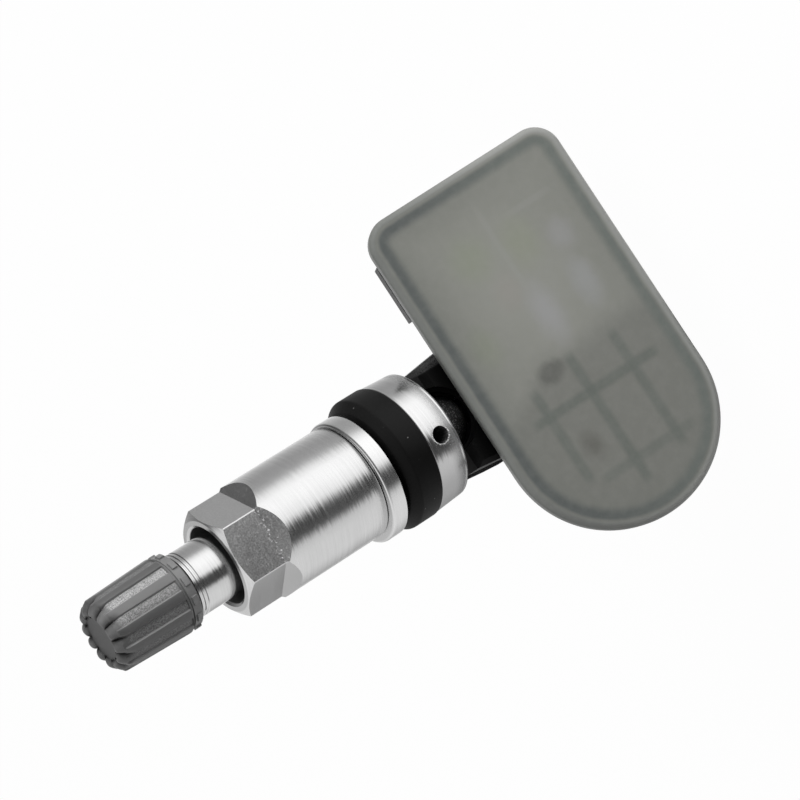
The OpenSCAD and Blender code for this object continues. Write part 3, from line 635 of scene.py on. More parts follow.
drill_start = 0.4
flare = 0.08
drill = lathe(np.array([[0, drill_start], [hole_r, drill_start], [hole_r, ring_r - flare],
                        [hole_r + flare, ring_r], [hole_r + flare, ring_r + 1],
                        [0, ring_r + 1]]), 48)
across = np.array([math.cos(hole_turn), -math.sin(hole_turn), 0])
outwards = np.array([-math.sin(hole_turn), -math.cos(hole_turn), 0])
upwards = np.array([0, 0, 1])
drill = (drill[..., :1] * across + drill[..., 1:2] * upwards + drill[..., 2:] * outwards
         + upwards * hole_z)
cut_away(valve_stem, grid_piece("drill", drill))
print("ring drilled at", round(math.degrees(hole_turn), 1), "degrees")

# %% [markdown]
# The stem's finish is turned aluminium on the ring and the barrel. The ball in its cradle, the
# ring's back edge and the bores are painted dark and speckled, mixed in by place: painted shade
# of the hollows and of the black housing that they mirror. The ring's side towards the housing is
# painted darker too, as painted shade, and one side of the pin hole's lip carries a painted
# highlight.

# %% Valve stem, finish
stem_metal = turned_aluminium("stem_metal", roughness=0.18, pitch=0.2, sideways=0.1)
place = coordinates(stem_metal)
x, y, z = split(place)
reach = length(x, y)
speckle = noise(place, 6.0, 3.0, 0.7)
on_ball = fall(z, ring_low - 0.15, ring_low - 0.02)
in_ring = rise(z, ring_low + 0.3, ring_low + 0.5) * fall(z, ring_high - 0.5, ring_high - 0.3)
in_hole = in_ring * fall(reach, ring_r - 0.35, ring_r - 0.12)
in_bore = fall(reach, 3.1, 3.3) * rise(z, ring_low, ring_low + 0.1)
on_back_edge = fall(z, ring_low + 0.14, ring_low + 0.24)
on_back_edge = on_back_edge * rise(reach, ring_r - 0.42, ring_r - 0.36)
# The ball, the ring's back edge, the pin hole and the bore are painted dark and speckled: painted
# shade.
dark = (on_ball + on_back_edge * 0.8 + in_hole + in_bore).math("MINIMUM", 1.0)
on_ring = fall(z, ring_high, ring_high + 0.05)
# The ring's side towards the housing is painted darker: painted shade.
shaded = fall(x, -7.5, -2.5) * on_ring
shade_speckle = blend(rise(speckle, 0.54, 0.66), grey(52), grey(168))
painted_light_and_wear = blend(dark, blend(shaded, stem_metal.metal, grey(160)), shade_speckle)
beside = x * across[0] + y * across[1]
off_hole = length(beside, z - hole_z)
near_hole = fall(y, -3.0, -2.0) * on_ring
lip = rise(off_hole, hole_r, hole_r + 0.03) * fall(off_hole, hole_r + 0.1, hole_r + 0.2)
# One side of the pin hole's lip is painted bright: a painted highlight.
lip_highlight = lip * rise(speckle, 0.46, 0.56) * fall(beside, 0.3, 0.7) * near_hole
scuffed = fall(off_hole, 1.4, 2.4) * rise(speckle, 0.54, 0.66) * near_hole * 0.35
painted_light_and_wear = blend(lip_highlight, blend(scuffed, painted_light_and_wear, grey(150)), grey(240))
roughened = stem_metal.rough + dark * 0.2 + lip_highlight * 0.3 + scuffed * 0.3
bare = 1 - dark * 0.75 - lip_highlight * 0.8
stem_metal.paint(base_color=painted_light_and_wear, roughness=roughened, metallic=bare)
dress(valve_stem, "valve", "turned_aluminium", stem_metal, "valve_stem")

# %% [markdown]
# The screw nut is a turned sleeve with a hexagon milled into its front end. Round the stem its
# radius is the smallest of three forms: the sleeve, six flats that run out into it on a slope, and
# the bevel at the front. Stations follow the lines where one form meets the next, which come from
# setting two formulas equal, so the edges are clean without a fine grid. The first and last column
# of a flat are narrow, so that the smooth shading of its corner stays thin. A small bevel breaks
# the sharp edges, as a file would.

# %% Screw nut, sizes
sleeve_r = 7.2
sleeve_low = nut_low[2]
nut_top = nut_high[2]
hex_half = 6.0
hex_z = 17.5
hex_turn = -5.4
hex_corner = 6.89
runout = math.tan(math.radians(35))
face_r = 5.85
bevel_slope = math.tan(math.radians(30))
mouth_r = 4.9
mouth_depth = 6.1
nut_thread_r = 4.06
counter_r = 5.9
counter_depth = 5.0
per_flat = 25
corner_column = 0.4
broken_edge = 0.03
print("hexagon of", 2 * hex_half, "mm on a sleeve of", 2 * sleeve_r, "mm")

# %% Screw nut, surface
half = math.degrees(math.acos(hex_half / hex_corner))
between = np.linspace(-half + corner_column, half - corner_column, per_flat - 2)
off_middle = np.hstack([-half, between, half])
middles = hex_turn + 30 + 60 * np.arange(6)
nut_angle = np.radians((middles[:, None] + off_middle[None, :]).ravel())
off = np.radians(np.tile(off_middle, 6))
flat_r = hex_half / np.cos(off)
meet_sleeve = hex_z - (sleeve_r * np.cos(off) - hex_half) / runout
meet_bevel = nut_top - (flat_r - face_r) * bevel_slope
# Radius, height, and 1 where the cutter has been
outside = [
    (sleeve_r - 0.3, sleeve_low, 0), (sleeve_r - 0.09, sleeve_low + 0.09, 0),
    (sleeve_r, sleeve_low + 0.3, 0), (sleeve_r, sleeve_low + 6, 0),
    (sleeve_r, meet_sleeve - 0.02, 0), (sleeve_r, meet_sleeve, 1),
    (flat_r, hex_z, 1), (flat_r, hex_z + 0.02, 1), (flat_r, meet_bevel - 0.05, 1),
    (flat_r, meet_bevel, 1), (flat_r - 0.05, meet_bevel + 0.05 * bevel_slope, 0),
    (face_r + 0.03, nut_top - 0.03 * bevel_slope, 0), (face_r, nut_top, 0),
]
inside = [
    (face_r - 0.03, nut_top, 0), (mouth_r + 0.38, nut_top, 0), (mouth_r + 0.35, nut_top, 0),
    (mouth_r, nut_top - 0.3, 0), (mouth_r, nut_top - mouth_depth, 0),
    (nut_thread_r, nut_top - mouth_depth, 0), (nut_thread_r, sleeve_low + counter_depth, 0),
    (counter_r, sleeve_low + counter_depth, 0), (counter_r, sleeve_low, 0),
]
nut_radius, nut_height, milled = (
    np.array([np.broadcast_to(station[k], off.shape) for station in outside + inside])
    for k in range(3))
screw_nut = grid_piece("milled_nut", carried_round(nut_radius, nut_height, nut_angle),
                       loop_stations=True, marks={"milled": milled})
broken = screw_nut.modifiers.new("edges", "BEVEL")
set_all(broken, width=broken_edge * MM, segments=2, limit_method="ANGLE",
        angle_limit=math.radians(40), harden_normals=True)
print("nut with", 6 * per_flat, "columns")

# %% [markdown]
# The sleeve shows fine lines round it. The flats come from a milling cutter and then a rough
# tumbling, so they are duller, with no lines, and stand a few degrees out of true, which turns the
# front one into the dark of the flag. A value kept at each point of the mesh says which is which.
# The front flat alone is speckled, and pale flecks gather on it where the cut ends. The low flat
# has a plain grey of its own, painted light for that side, and inside the mouth the metal is
# painted darker, as painted shade.

# %% Screw nut, finish
nut_metal = turned_aluminium("nut_metal", pitch=0.13, sideways=0.1)
place = coordinates(nut_metal)
x, y, z = split(place)
flats = rise(mark(nut_metal, "milled"), 0.93, 0.98)
grain = noise(place, 5.0, 3.0, 0.7)
hollow = fall(length(x, y), mouth_r + 0.02, mouth_r + 0.12)
low_flat_painted_light = fall(x, -4.2, -3.8)
front_flat = (1 - low_flat_painted_light) * fall(x, 2.6, 2.9)
uneven = (rise(grain, 0.3, 0.7) - 0.5) * (front_flat * 0.75 + 0.25) + 0.5
# The low flat gets a plain grey of its own: painted light for that side.
peppered = blend(low_flat_painted_light, blend(uneven, grey(188), grey(228)), grey(186))
end_of_cut = rise(z, hex_z - 0.8, hex_z - 0.2) * fall(z, hex_z + 0.1, hex_z + 0.6)
flecks = fall(spots(place, 2.6), 0.15, 0.42) * rise(grain, 0.42, 0.55)
flecks = flecks * (end_of_cut * 0.8 + 0.12) * flats * front_flat
metal = blend(flecks, blend(flats, nut_metal.metal, peppered), grey(236))
# Inside the mouth the metal is painted darker: painted shade.
metal = blend(hollow, metal, grey(110))
rough = nut_metal.rough + flats * (grain * 0.12 + 0.04) + flecks * 0.3 + hollow * 0.3
leaning = low_flat_painted_light * 0.12 + 0.085
pitted = bump(grain, 0.006, 0.5, tipped(round_about(nut_metal), flats * leaning * -1.0))
sockets = {"Factor_Float": flats, "A_Vector": nut_metal.bent, "B_Vector": pitted}
normal = nut_metal.node("ShaderNodeMix", {"data_type": "VECTOR"}, sockets, output=1)
bare = 1 - flecks * 0.8 - flats * rise(grain, 0.52, 0.72) * 0.07 - hollow * 0.5
nut_metal.paint(base_color=metal, metallic=bare, roughness=rough, normal=normal)
dress(screw_nut, "nut", "nut_aluminium", nut_metal, "screw_nut")

# %% [markdown]
# The loose washer hangs a little low on the stem, so its circle has its own middle. Its front and
# back edges are rounded by arcs in the profile.

# %% Loose washer
washer_middle = (washer_low + washer_high) / 2
washer_r = (washer_high[0] - washer_low[0]) / 2
washer_hole = 6.05
front_edge, back_edge = 0.35, 0.2
front, back = washer_high[2], washer_low[2]
washer_points = lathe(np.vstack([
    [[washer_hole, front]], [[washer_r - front_edge, front]],
    arc((washer_r - front_edge, front - front_edge), front_edge, 80, 0, 6),
    arc((washer_r - back_edge, back + back_edge), back_edge, 0, -90, 5), [[washer_hole, back]],
]), 160) + np.array([washer_middle[0], washer_middle[1], 0])
nut_washer = grid_piece("brushed_washer", washer_points, loop_stations=True)
washer_metal = turned_aluminium("washer_metal", tone=218)
dress(nut_washer, "washer", "washer_aluminium", washer_metal, "nut_washer")

# %% [markdown]
# The grommet is the rubber that seals the rim. Its flange has a wide bevel with soft corners on
# the front edge, then the neck that fills the valve hole. Moulded rubber is black with a weak
# sheen, a fine grain and a few specks of dust. Its black is painted lighter towards the lamp's
# side, as painted light.

# %% Grommet
grommet_r = grommet_high[0]
neck_r = 5.65
neck_top = grommet_high[2]
flange_back = grommet_low[2]
grommet_bore = 4.03
grommet_points = lathe(np.vstack([
    [[grommet_bore, flange_back]],
    arc((grommet_r - 0.22, flange_back + 0.22), 0.22, -90, 0, 5),
    arc((grommet_r - 0.5, -1.22), 0.5, 0, 42, 6),
    arc((grommet_r - 1.28, -0.42), 0.42, 48, 90, 6),
    arc((neck_r + 0.3, 0.3), 0.3, 270, 180, 5),
    arc((neck_r - 0.4, neck_top - 0.4), 0.4, 0, 90, 5),
    [[grommet_bore, neck_top]],
]), 160)
grommet = grid_piece("rubber_grommet", grommet_points, loop_stations=True)

rubber = Finish("satin_rubber", specular_ior_level=0.12)
place = coordinates(rubber)
fine = noise(place, 5.0, 4.0, 0.6)
cloud = noise(place, 0.35, 2.0)
dust = fall(spots(place, 0.9), 0.05, 0.11) * rise(noise(place, 0.8, 1.0), 0.56, 0.62)
# The black is painted lighter towards +x, the lamp's side: painted light.
black = blend(cloud * 0.3 + rise(split(place)[0], -5.0, 4.0) * 0.7, grey(2), grey(24))
rubber.paint(base_color=blend(dust, black, grey(120)), roughness=fine * 0.14 + 0.44,
             normal=bump(fine, 0.01, 0.5))
dress(grommet, "valve", "grommet_rubber", rubber, "grommet")

# %% [markdown]
# The cap is moulded in dark grey plastic. Twelve flutes run down it, and at the tip each border
# between a flute and the next land deepens into a curved notch, so that twelve lobes stand round
# a flat disc. The surface is a profile carried round the stem, less the depth of a field that
# depends on the angle inside one pitch and on the height.

# %% Valve cap, profile
cap_low_z, cap_top_z = cap_low[2], cap_high[2]
cap_r = 4.8
cap_tip_r = 4.5
tip_round = 1.2
skirt_top = cap_low_z + 1.5
shoulder = cap_top_z - tip_round
cap_bore = 3.91
ceiling_z = 37.65
disc_depth = 0.42


def cap_side(z):
    """The outer radius, which narrows evenly from the skirt to the shoulder."""
    return cap_r + (cap_tip_r - cap_r) * (z - skirt_top) / (shoulder - skirt_top)


side_z = np.linspace(skirt_top + 0.15, shoulder, 26)
side = np.column_stack([cap_side(side_z), side_z])
tip = arc((cap_tip_r - tip_round, shoulder), tip_round, 2, 84, 20)
dished = [[1.32, 0.02], [1.42, 0.1], [1.52, 0.26], [1.62, 0.38], [1.75, disc_depth]]
disc = np.vstack([[cap_tip_r, cap_top_z] - np.array(dished),
                  [[1.6, cap_top_z - disc_depth], [0, cap_top_z - disc_depth]]])
skirt = [cap_r, cap_low_z] + np.array([
    [-0.5, 0], [-0.36, 0], [-0.24, 0.12], [-0.24, 0.24], [-0.24, 0.28], [-0.24, 0.92],
    [-0.24, 0.96], [-0.24, 1.14], [-0.42, 1.2], [-0.42, 1.38], [-0.14, 1.5], [-0.02, 1.56]])
hollow = np.array([[0, ceiling_z], [cap_bore, ceiling_z], [cap_bore, cap_low_z + 0.3],
                   [cap_bore + 0.3, cap_low_z]])
cap_profile = np.vstack([hollow, skirt, side, tip, disc])
outer_from = len(hollow) + len(skirt)
print("cap profile of", len(cap_profile), "stations")

# %% Valve cap, surface
flutes = 12
flute_turn = 3.6
flute_half = 0.625
flute_depth = 0.22
wall_width = 0.09
notch_depth = 0.85
notch_shift = math.radians(-7.75)
block_height = 0.22
per_flute = 44
pitch = 2 * math.pi / flutes


def soft(value, low, high):
    """The soft step 3t2 - 2t3 of t, which goes from 0 at low to 1 at high."""
    t = np.clip((value - low) / (high - low), 0, 1)
    return t * t * (3 - 2 * t)


across_pitch = np.tile(np.linspace(-0.5, 0.5, per_flute, endpoint=False) * pitch, flutes)
cap_angle = np.repeat(np.arange(flutes) * pitch, per_flute) + across_pitch
cap_angle = cap_angle + math.radians(flute_turn - 90)
profile_r, profile_z = cap_profile[:, :1], cap_profile[:, 1:]
outer = np.zeros((len(cap_profile), 1))
outer[outer_from:-1] = 1
from_middle = np.abs(across_pitch) * profile_r
in_flute = outer * (1 - soft(from_middle, flute_half - wall_width, flute_half + wall_width))
floor_depth = np.clip(profile_r - (cap_side(profile_z) - flute_depth), 0, flute_depth)
flute_field = floor_depth * in_flute * soft(profile_z, skirt_top - 0.02, skirt_top + 0.06)
lobe = ((across_pitch + notch_shift) / pitch) % 1.0
bulge = 1 - np.sqrt(np.clip(1 - (2 * lobe - 1) ** 2, 0, 1))
near_tip = soft(profile_z, cap_top_z - 2.0, cap_top_z - 0.75)
rim_only = soft(profile_r, 2.8, 3.25) * outer
block = soft(flute_half - 0.1 - from_middle, -0.03, 0.03)
in_blocks = (profile_z > cap_low_z + 0.26) & (profile_z < cap_low_z + 0.94)
in_blocks = in_blocks & (profile_r > cap_bore + 0.4) & (outer < 1)
cap_radius = (profile_r - flute_field - notch_depth * bulge * near_tip * rim_only
              + block_height * block * in_blocks)
lobe_slope = 0.22 * soft(profile_r, 3.4, 4.3) + 0.42 * bulge
cap_height = profile_z - lobe_slope * rim_only * soft(profile_z, cap_top_z - 1.0, cap_top_z - 0.3)
# One wall's edge of each flute, where a painted highlight goes.
edge_place = (across_pitch * profile_r + flute_half + 0.03) / 0.07
marks = {"fluted": in_flute, "valley": bulge ** 0.7 * near_tip * rim_only,
         "crest": np.exp(-edge_place ** 2) * outer * (1 - near_tip)}
cap_points = carried_round(cap_radius, cap_height, cap_angle)
valve_cap = grid_piece("fluted_cap", cap_points, marks=marks)
print("cap of", cap_points.shape[0], "stations and", cap_points.shape[1], "columns")

# %% [markdown]
# The mould was sparked in the flutes, so their floors are rough and speckled and a little lighter,
# while the lands are smooth. The values kept in the mesh tell them apart. The side of the cap that
# is turned to the lamp is painted lighter, as painted light, and the skirt is paler. A thin pale
# line on one wall of each flute is a painted highlight, and the notches and the sunk disc at the
# tip are painted dark, as painted shade.

# %% Valve cap, finish
plastic = Finish("cap_grey", specular_ior_level=0.6)
place = coordinates(plastic)
x, y, z = split(place)
sparked = rise(mark(plastic, "fluted"), 0.85, 1.0) * fall(z, cap_top_z - 2.0, cap_top_z - 1.1)
pepper = noise(place, 7.0, 2.0, 0.8)
smooth_grain = noise(place, 3.0, 4.0, 0.6)
cloud = noise(coordinates(plastic, (0.5, 0.5, 0.15)), 1.0, 2.0)
# The side turned to the lamp is painted lighter: painted light.
lamp_side_painted_light = rise(x, -1.2, 1.3) * fall(x, 2.4, 3.6)
land = blend(lamp_side_painted_light, blend(cloud, grey(78), grey(86)), blend(cloud, grey(102), grey(110)))
pits = rise(pepper, 0.35, 0.65)
speckled = blend(lamp_side_painted_light, blend(pits, grey(72), grey(120)), blend(pits, grey(106), grey(182)))
sunk = rise(z, cap_top_z - 0.6, cap_top_z - 0.5) * fall(length(x, y), 2.75, 3.05)
# The notches and the sunk disc are painted dark: painted shade.
shade = (mark(plastic, "valley") * 0.8 + sunk * 0.9).math("MINIMUM", 1.0)
on_skirt = fall(z, skirt_top - 0.1, skirt_top + 0.05)
tone = blend(on_skirt * 0.7, blend(sparked, land, speckled), grey(122))
# A thin pale line on one wall of each flute is a painted highlight.
tone = blend(mark(plastic, "crest") * 0.6, tone, grey(146))
tone = blend(shade, tone, grey(34))
grain_height = smooth_grain * (1 - sparked) * 0.3 + pepper * sparked
plastic.paint(base_color=tone, roughness=smooth_grain * 0.1 + 0.3 + sparked * 0.26,
              normal=bump(grain_height, 0.03, 0.7))
dress(valve_cap, "cap", "cap_plastic", plastic, "valve_cap")

# %% [markdown]
# The cover is the large D-shaped lid: a half circle at one end, two rounded corners at the other.
# Every ring of its surface is the same outline drawn in by some distance, so the whole lid is a
# profile of inset and height carried round the outline. Drawn in by half its width, the outline
# closes to a line, and the rings weld there.

# %% Cover, outline and frame
face_turn = math.radians(69)
cover_near = -3.8
cover_width = 26.0
cover_length = 46.8
cover_middle = cover_near - cover_width / 2
cover_end = 23.5
round_centre = cover_end - cover_length + cover_width / 2
corner_r = 3.3


def d_outline(inset):
    """The outline drawn in by each inset: half circle, side, corner, end, corner, side."""
    inset = inset[:, None]
    big = cover_width / 2 - inset
    small = np.maximum(corner_r - inset, 0)
    far = cover_end - inset
    end_x, side_y = far - small, big - small
    bend = np.radians(np.linspace(90, 270, 73))
    quarter = np.radians(np.linspace(0, 90, 13))
    run = np.linspace(0, 1, 25)[1:-1]
    stretch = np.linspace(0, 1, 17)[1:-1]
    parts = [
        (round_centre + big * np.cos(bend), big * np.sin(bend)),
        (round_centre + (end_x - round_centre) * run, -big + 0 * run),
        (end_x + small * np.sin(quarter), -side_y - small * np.cos(quarter)),
        (far + 0 * stretch, -side_y + 2 * side_y * stretch),
        (end_x + small * np.cos(quarter), side_y + small * np.sin(quarter)),
        (end_x + (round_centre - end_x) * run, big + 0 * run),
    ]
    return np.hstack([px for px, _ in parts]), np.hstack([py for _, py in parts]) + cover_middle


def to_row(x, y, z):
    """Points of the housing's own frame, turned about the ball's middle into the row's frame."""
    cos, sin = math.cos(face_turn), math.sin(face_turn)
    return np.stack([x, y * cos - z * sin, y * sin + z * cos + pivot_z], axis=-1)


def housing_place(finish):
    """The coordinates in the housing's own frame, in millimetres."""
    sockets = {"Vector": finish.node("ShaderNodeTexCoord", output=3), "Scale": (MM, MM, MM),
               "Location": (0, 0, pivot_z * MM), "Rotation": (face_turn, 0, 0)}
    return finish.node("ShaderNodeMapping", {"vector_type": "TEXTURE"}, sockets)


print("outline of", d_outline(np.zeros(1))[0].shape[1], "points")

# %% Cover, surface
face_z = 7.0
plate_z = 5.6
lid_edge_z = 4.3
lid_wall = 1.0
lid_round = 0.8
lip_round = 0.25


def flat_run(insets, z):
    """A level stretch of the lid's profile."""
    return np.column_stack([insets, np.full(len(insets), z)])


lid_profile = np.vstack([
    flat_run([13.0, 12.0, 9.0, 6.0, 3.4, 2.0, lid_wall], plate_z),
    [[lid_wall, plate_z - 0.6], [lid_wall, lid_edge_z]],
    arc((lip_round, lid_edge_z + lip_round), -lip_round, 90, 0, 5),
    [[0.0, 5.3]],
    arc((lid_round, face_z - lid_round), lid_round, 180, 90, 14),
    flat_run([1.0, 1.2, 1.4, 1.6, 1.8, 2.0, 2.2, 2.5, 2.9, 3.4, 5, 7, 9, 11, 12, 13], face_z),
])
lid_x, lid_y = d_outline(lid_profile[:, 0])
cover_points = to_row(lid_x, lid_y, np.broadcast_to(lid_profile[:, 1:], lid_x.shape))
cover = grid_piece("frosted_cover", cover_points, marks={"inset": lid_profile[:, :1]})
print("cover of", len(lid_profile), "rings")

# %% [markdown]
# Under the plate five ribs are moulded on. They are bars, and each is a small grid of its own:
# a rectangle with its lower edges drawn in a little, joined to the cover's mesh.

# %% Cover, ribs joined on
rib_half = 0.45
rib_low = plate_z - 1.2
rib_high = plate_z + 0.05
rib_draft = 0.12
rib_step = 5.65


def bar(from_x, to_x, from_y, to_y):
    """The eight corners of a rib, its lower end drawn in by a draft, and its six faces."""
    ring_x = np.array([from_x, to_x, to_x, from_x])
    ring_y = np.array([from_y, from_y, to_y, to_y])
    low_x = ring_x + np.array([1, -1, -1, 1]) * rib_draft
    low_y = ring_y + np.array([1, 1, -1, -1]) * rib_draft
    points = np.array([to_row(low_x, low_y, np.full(4, rib_low)),
                       to_row(ring_x, ring_y, np.full(4, rib_high))])
    sides = [(k, k + 4, (k + 1) % 4 + 4, (k + 1) % 4) for k in range(4)]
    return points.reshape(-1, 3), [(0, 1, 2, 3), (4, 7, 6, 5)] + sides


rib_bars = [(-19.0, -1.0, y - rib_half, y + rib_half)
            for y in cover_middle + rib_step * np.array([-1, 0, 1])]
rib_bars += [(x - rib_half, x + rib_half, cover_middle - 8.6, cover_middle + 8.0)
             for x in (-5.8, -15.15)]
rib_work = bmesh.new()
rib_work.from_mesh(cover.data)
for rib in rib_bars:
    corners, faces = bar(*rib)
    verts = [rib_work.verts.new(point) for point in (corners * MM).tolist()]
    made = [rib_work.faces.new([verts[index] for index in face]) for face in faces]
    bmesh.ops.recalc_face_normals(rib_work, faces=made)
rib_work.to_mesh(cover.data)
rib_work.free()
print(len(rib_bars), "ribs joined,", len(cover.data.polygons), "faces")

# %% [markdown]
# The cover is frosted plastic, and what lies under it shows as soft shapes: the wall of the
# housing draws a dark band inside the edge, the ribs make a dark grid over the cell, and the
# square half is a little lighter, with green and light patches of the board. The edge carries a
# painted highlight, and the side near the stem is painted darker, as painted shade. Real
# translucency is noisy and slow, so the shapes are painted as soft masks in the housing's own
# frame, which moves with the piece.

# %% Cover, masks
frosted = Finish("frosted_grey", specular_ior_level=0.45)
local = housing_place(frosted)
x, y, z = split(local)
wobble = noise(local, 0.5, 2.0) - 0.5
inset = mark(frosted, "inset")


def patch(at_x, at_y, half_x, half_y, inner=0.1):
    """A soft oval patch: 1 in its middle, 0 outside its half sizes."""
    sway = wobble * 1.2
    return fall(length((x + sway - at_x) / half_x, (y - sway - at_y) / half_y), inner, 1.0)


def line(along, beside, middle, start, stop, half_width=0.95, end=1.0):
    """A soft line along one coordinate, where the other is near its middle."""
    width = fall(abs(beside - middle), half_width * 0.25, half_width)
    started = rise(along, start - end, start + end * 0.5)
    return width * started * fall(along, stop - end * 0.5, stop + end)


print("cover masks ready")

# %% Cover, what shows through it
shapes = [
    (patch(8.0, -16.5, 12.5, 9.0, 0.3), (138, 139, 133), 0.75),
    (patch(13.8, -13.2, 4.4, 3.8), (131, 136, 121), 0.65),
    (patch(12.6, -19.3, 4.6, 3.4), (132, 136, 121), 0.65),
    (patch(4.3, -8.8, 4.0, 2.8), (127, 132, 117), 0.6),
    (patch(8.3, -14.8, 3.4, 2.6), (141, 138, 133), 0.55),
    (patch(3.9, -17.4, 5.6, 2.6), (147, 147, 148), 0.8),
    (patch(4.8, -23.2, 4.6, 2.4), (143, 144, 144), 0.75),
    (patch(10.9, -23.9, 3.0, 2.4), (142, 142, 142), 0.7),
    (line(x, y, -16.9, 8.0, 18.0, 0.5, 3.0), (142, 143, 138), 0.3),
    (line(y, x, 16.0, -25.0, -20.0, 0.6, 2.5), (140, 141, 137), 0.3),
    (patch(-11.8, -13.2, 2.6, 2.0), (93, 93, 88), 0.75),
    (patch(-2.1, -13.9, 1.9, 2.3, 0.3), (90, 91, 87), 0.85),
    (line(x, y, -10.8, -15.0, -3.4), (95, 100, 95), 0.7),
    (line(x, y, -16.6, -18.5, -1.8), (95, 100, 95), 0.75),
    (line(x, y, -22.4, -17.0, -2.2), (95, 100, 95), 0.7),
    (line(y, x, -6.5, -25.4, -9.0), (94, 99, 94), 0.75),
    (line(y, x, -15.9, -24.4, -12.6), (96, 101, 96), 0.55),
]
slant = x + (y + 14.0).math("MAXIMUM", 0.0) * 0.6
square_half = rise(slant + wobble * 1.5, -2.4, 1.2)
tone = blend(square_half, rgb(115, 116, 111), rgb(129, 130, 124))
for shape, colour, amount in shapes:
    tone = blend(shape * amount, tone, rgb(*colour))
print("painted", len(shapes), "shapes under the cover")

# %% Cover, edge and surface grain
# The side near the stem is painted darker, inwards from the edge, on the band and on the edge:
# painted shade.
shaded_near_side = rise(y, -26.0, -6.0)
painted_shade_inwards = fall(inset, 1.5, 6.5) * (shaded_near_side * 0.35 + 0.3)
tone = blend(painted_shade_inwards, tone, rgb(110, 112, 107))
swayed = inset + wobble * 0.2
band = rise(swayed, 0.85, 1.4) * fall(swayed, 1.7, 2.9)
tone = blend(band, tone, blend(shaded_near_side, rgb(100, 105, 101), rgb(84, 88, 87)))
# The pale edge is a painted highlight, brighter on the far side.
rim_highlight = blend(shaded_near_side, rgb(140, 141, 138), rgb(112, 114, 111))
tone = blend(fall(inset, 0.55, 1.15), tone, rim_highlight)
mottle = noise(local, 0.9, 4.0, 0.6)
tone = blend(rise(mottle, 0.3, 0.75) * 0.10, tone, rgb(150, 151, 146))
frost = noise(local, 9.0, 3.0, 0.6)
frosted.paint(base_color=tone, roughness=frost * 0.1 + 0.42, normal=bump(frost, 0.006, 0.35))
dress(cover, "sensor", "cover_plastic", frosted, "cover")

# %% [markdown]
# The housing is a black moulding filled with glass fibre. It keeps its solid's own mesh. The
# finish has a fine grain and a faint flow of the melt. The cradle's cheek on the square end's side
# is painted paler along its edge, where it shows beside the ring: painted light on the edge that
# faces the lamp. The cradle is drawn along the stem, so that edge is found with the piece's own
# coordinates. The other cheek is left dull, and its normal is tipped forwards, as a rough wall
# throws no light along it.


# %% Housing finish
def finish_nodes(finish, *names):
    """Puts a finish on nodes that keep their own mesh."""
    for name in names:
        if len(nodes[name].material_slots) == 0:
            nodes[name].data.materials.append(finish.material)
        for slot in nodes[name].material_slots:
            slot.material = finish.material
    print("finished", *names)


cheek_edge, cheek_front, cheek_lean = 6.85, -0.7, math.tan(math.radians(7))

housing_black = Finish("housing_black", specular_ior_level=0.13)
local = housing_place(housing_black)
x, y, z = split(local)
grain = noise(local, 6.0, 4.0, 0.65)
flow = noise(coordinates(housing_black, (0.15, 0.5, 0.15)), 1.0, 3.0)
stem_x, stem_y, stem_z = split(coordinates(housing_black))
from_edge = stem_x - (stem_y - cheek_front) * cheek_lean - cheek_edge
on_cradle = rise(stem_z, pivot_z - 5.3, pivot_z - 5.0) * fall(stem_y, 6.0, 6.6)
# The cheek's edge is painted paler: painted light where it faces the lamp.
painted_lit_edge = rise(from_edge, -0.5, -0.25) * on_cradle * rise(grain, 0.3, 0.6)
dull = fall(x, -6.2, -5.0) * fall(z, 0.9, 1.1)
black = blend(flow * 0.6 + grain * 0.4, grey(4), grey(13))
leaning = tipped(in_world(housing_black, (0.0, -1.0, 0.0)), dull * 0.8)
rough = grain * 0.16 + dull * 0.4 + 0.4
housing_black.paint(base_color=blend(painted_lit_edge, black, grey(62)), roughness=rough,
                    normal=bump(grain, 0.012, 0.5, leaning))
finish_nodes(housing_black, "housing")

# %% [markdown]
# The small metal pieces are brass, zinc-plated steel, nickel strip and stainless steel. One
# function covers them: a colour, a roughness, a direction in which the metal was drawn or
# brushed, and a light tarnish.


# %% Small metal pieces
def drawn_metal(name, low, high, roughness, stretch, scale):
    """Metal between two colours, with a grain that is stretched along the piece."""
    finish = Finish(name, metallic=1.0)
    grain = noise(coordinates(finish, stretch), scale, 4.0, 0.6)
    tarnish = noise(coordinates(finish), 0.5, 3.0)
    colour = blend(grain * 0.5 + tarnish * 0.5, low, high)
    rough = tarnish * 0.15 + grain * 0.1 + (roughness - 0.12)
    return finish.paint(base_color=colour, roughness=rough, normal=bump(grain, 0.004, 0.4))


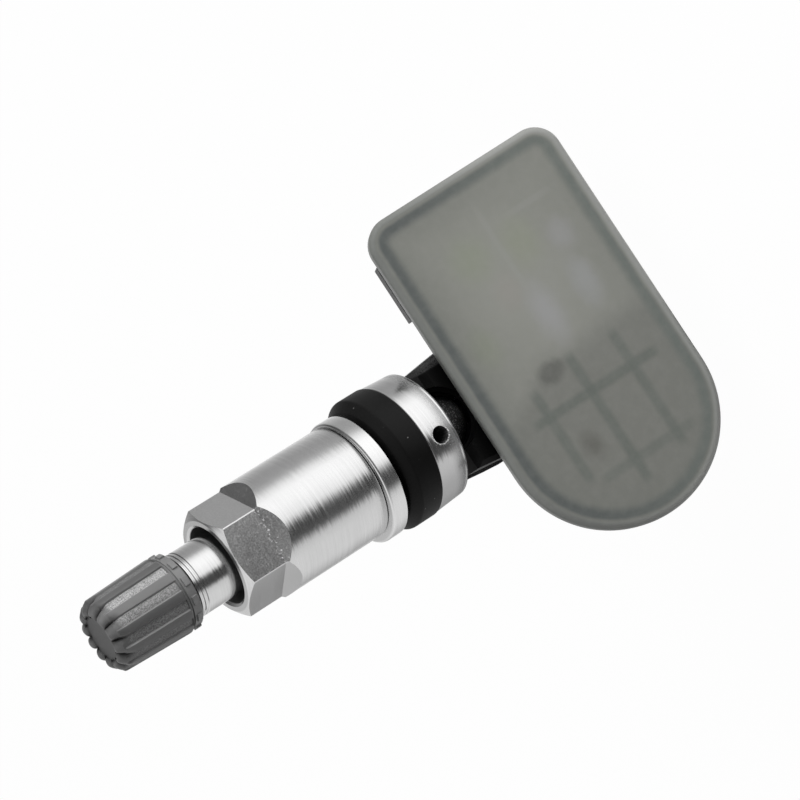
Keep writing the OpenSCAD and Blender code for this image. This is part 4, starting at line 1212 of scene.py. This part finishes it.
metals = [
    ("core_brass", rgb(170, 132, 70), rgb(214, 180, 108), 0.28, (0.3, 0.3, 4), 4.0,
     "core_head", "core_barrel"),
    ("zinc_steel", rgb(150, 152, 158), rgb(198, 199, 202), 0.3, (0.4, 0.4, 3), 4.0,
     "core_pin", "retaining_screw", "clamp_washer"),
    ("spring_steel", rgb(128, 130, 136), rgb(176, 178, 182), 0.34, (1, 1, 1), 9.0, "core_spring"),
    ("can_steel", rgb(176, 176, 174), rgb(214, 214, 210), 0.24, (3, 0.2, 0.2), 4.0,
     "coin_cell", "crystal"),
    ("nickel_strip", rgb(168, 164, 154), rgb(208, 204, 194), 0.3, (3, 0.3, 0.3), 4.0,
     "top_tab", "bottom_tab", "antenna"),
]
for name, low, high, roughness, stretch, scale, *wearers in metals:
    finish_nodes(drawn_metal(name, low, high, roughness, stretch, scale), *wearers)

# %% [markdown]
# Seals, chips, the board and the coil are plain moulded or coated pieces. They show only when the
# cap is off or the view comes through the trough, but each still has its own colour and grain.


# %% Seals, board and chips
def coated(name, low, high, roughness, scale):
    """A coated or moulded piece between two colours, with a grain of some scale."""
    finish = Finish(name, specular_ior_level=0.5)
    grain = noise(coordinates(finish), scale, 4.0, 0.6)
    cloud = noise(coordinates(finish), scale / 8, 2.0)
    colour = blend(grain * 0.6 + cloud * 0.4, low, high)
    rough = grain * 0.2 + (roughness - 0.1)
    return finish.paint(base_color=colour, roughness=rough, normal=bump(grain, 0.01, 0.5))


coatings = [
    ("seal_black", grey(22), grey(40), 0.6, 6.0, "cap_gasket", "core_seal", "port_gasket"),
    ("seal_white", rgb(214, 212, 202), rgb(238, 236, 228), 0.5, 5.0, "core_gasket", "port_filter"),
    ("board_mask", rgb(14, 84, 44), rgb(30, 122, 66), 0.35, 4.0, "circuit_board"),
    ("chip_epoxy", grey(26), grey(46), 0.5, 9.0, "pressure_chip", "radio_chip"),
    ("coil_ferrite", rgb(58, 56, 60), rgb(82, 80, 84), 0.55, 8.0, "coil_core"),
    ("capacitor_tan", rgb(150, 132, 106), rgb(186, 168, 140), 0.45, 7.0, "capacitors"),
]
for name, low, high, roughness, scale, *wearers in coatings:
    finish_nodes(coated(name, low, high, roughness, scale), *wearers)

# %% [markdown]
# The coil is wound with lacquered copper wire. A sine of the place along the coil draws its turns,
# with a little noise so that they do not look ruled.

# %% Coil winding
wire_pitch = 0.16
copper = Finish("winding_copper", metallic=0.6, specular_ior_level=0.5)
local = housing_place(copper)
stray = noise(local, 2.0, 2.0) * 0.4
turn = (split(local)[1] * (2 * math.pi / wire_pitch) + stray).math("SINE") * 0.5 + 0.5
copper.paint(base_color=blend(turn, rgb(92, 46, 30), rgb(196, 120, 82)),
             roughness=stray * 0.3 + 0.3, normal=bump(turn, 0.05, 0.6))
finish_nodes(copper, "coil_winding")
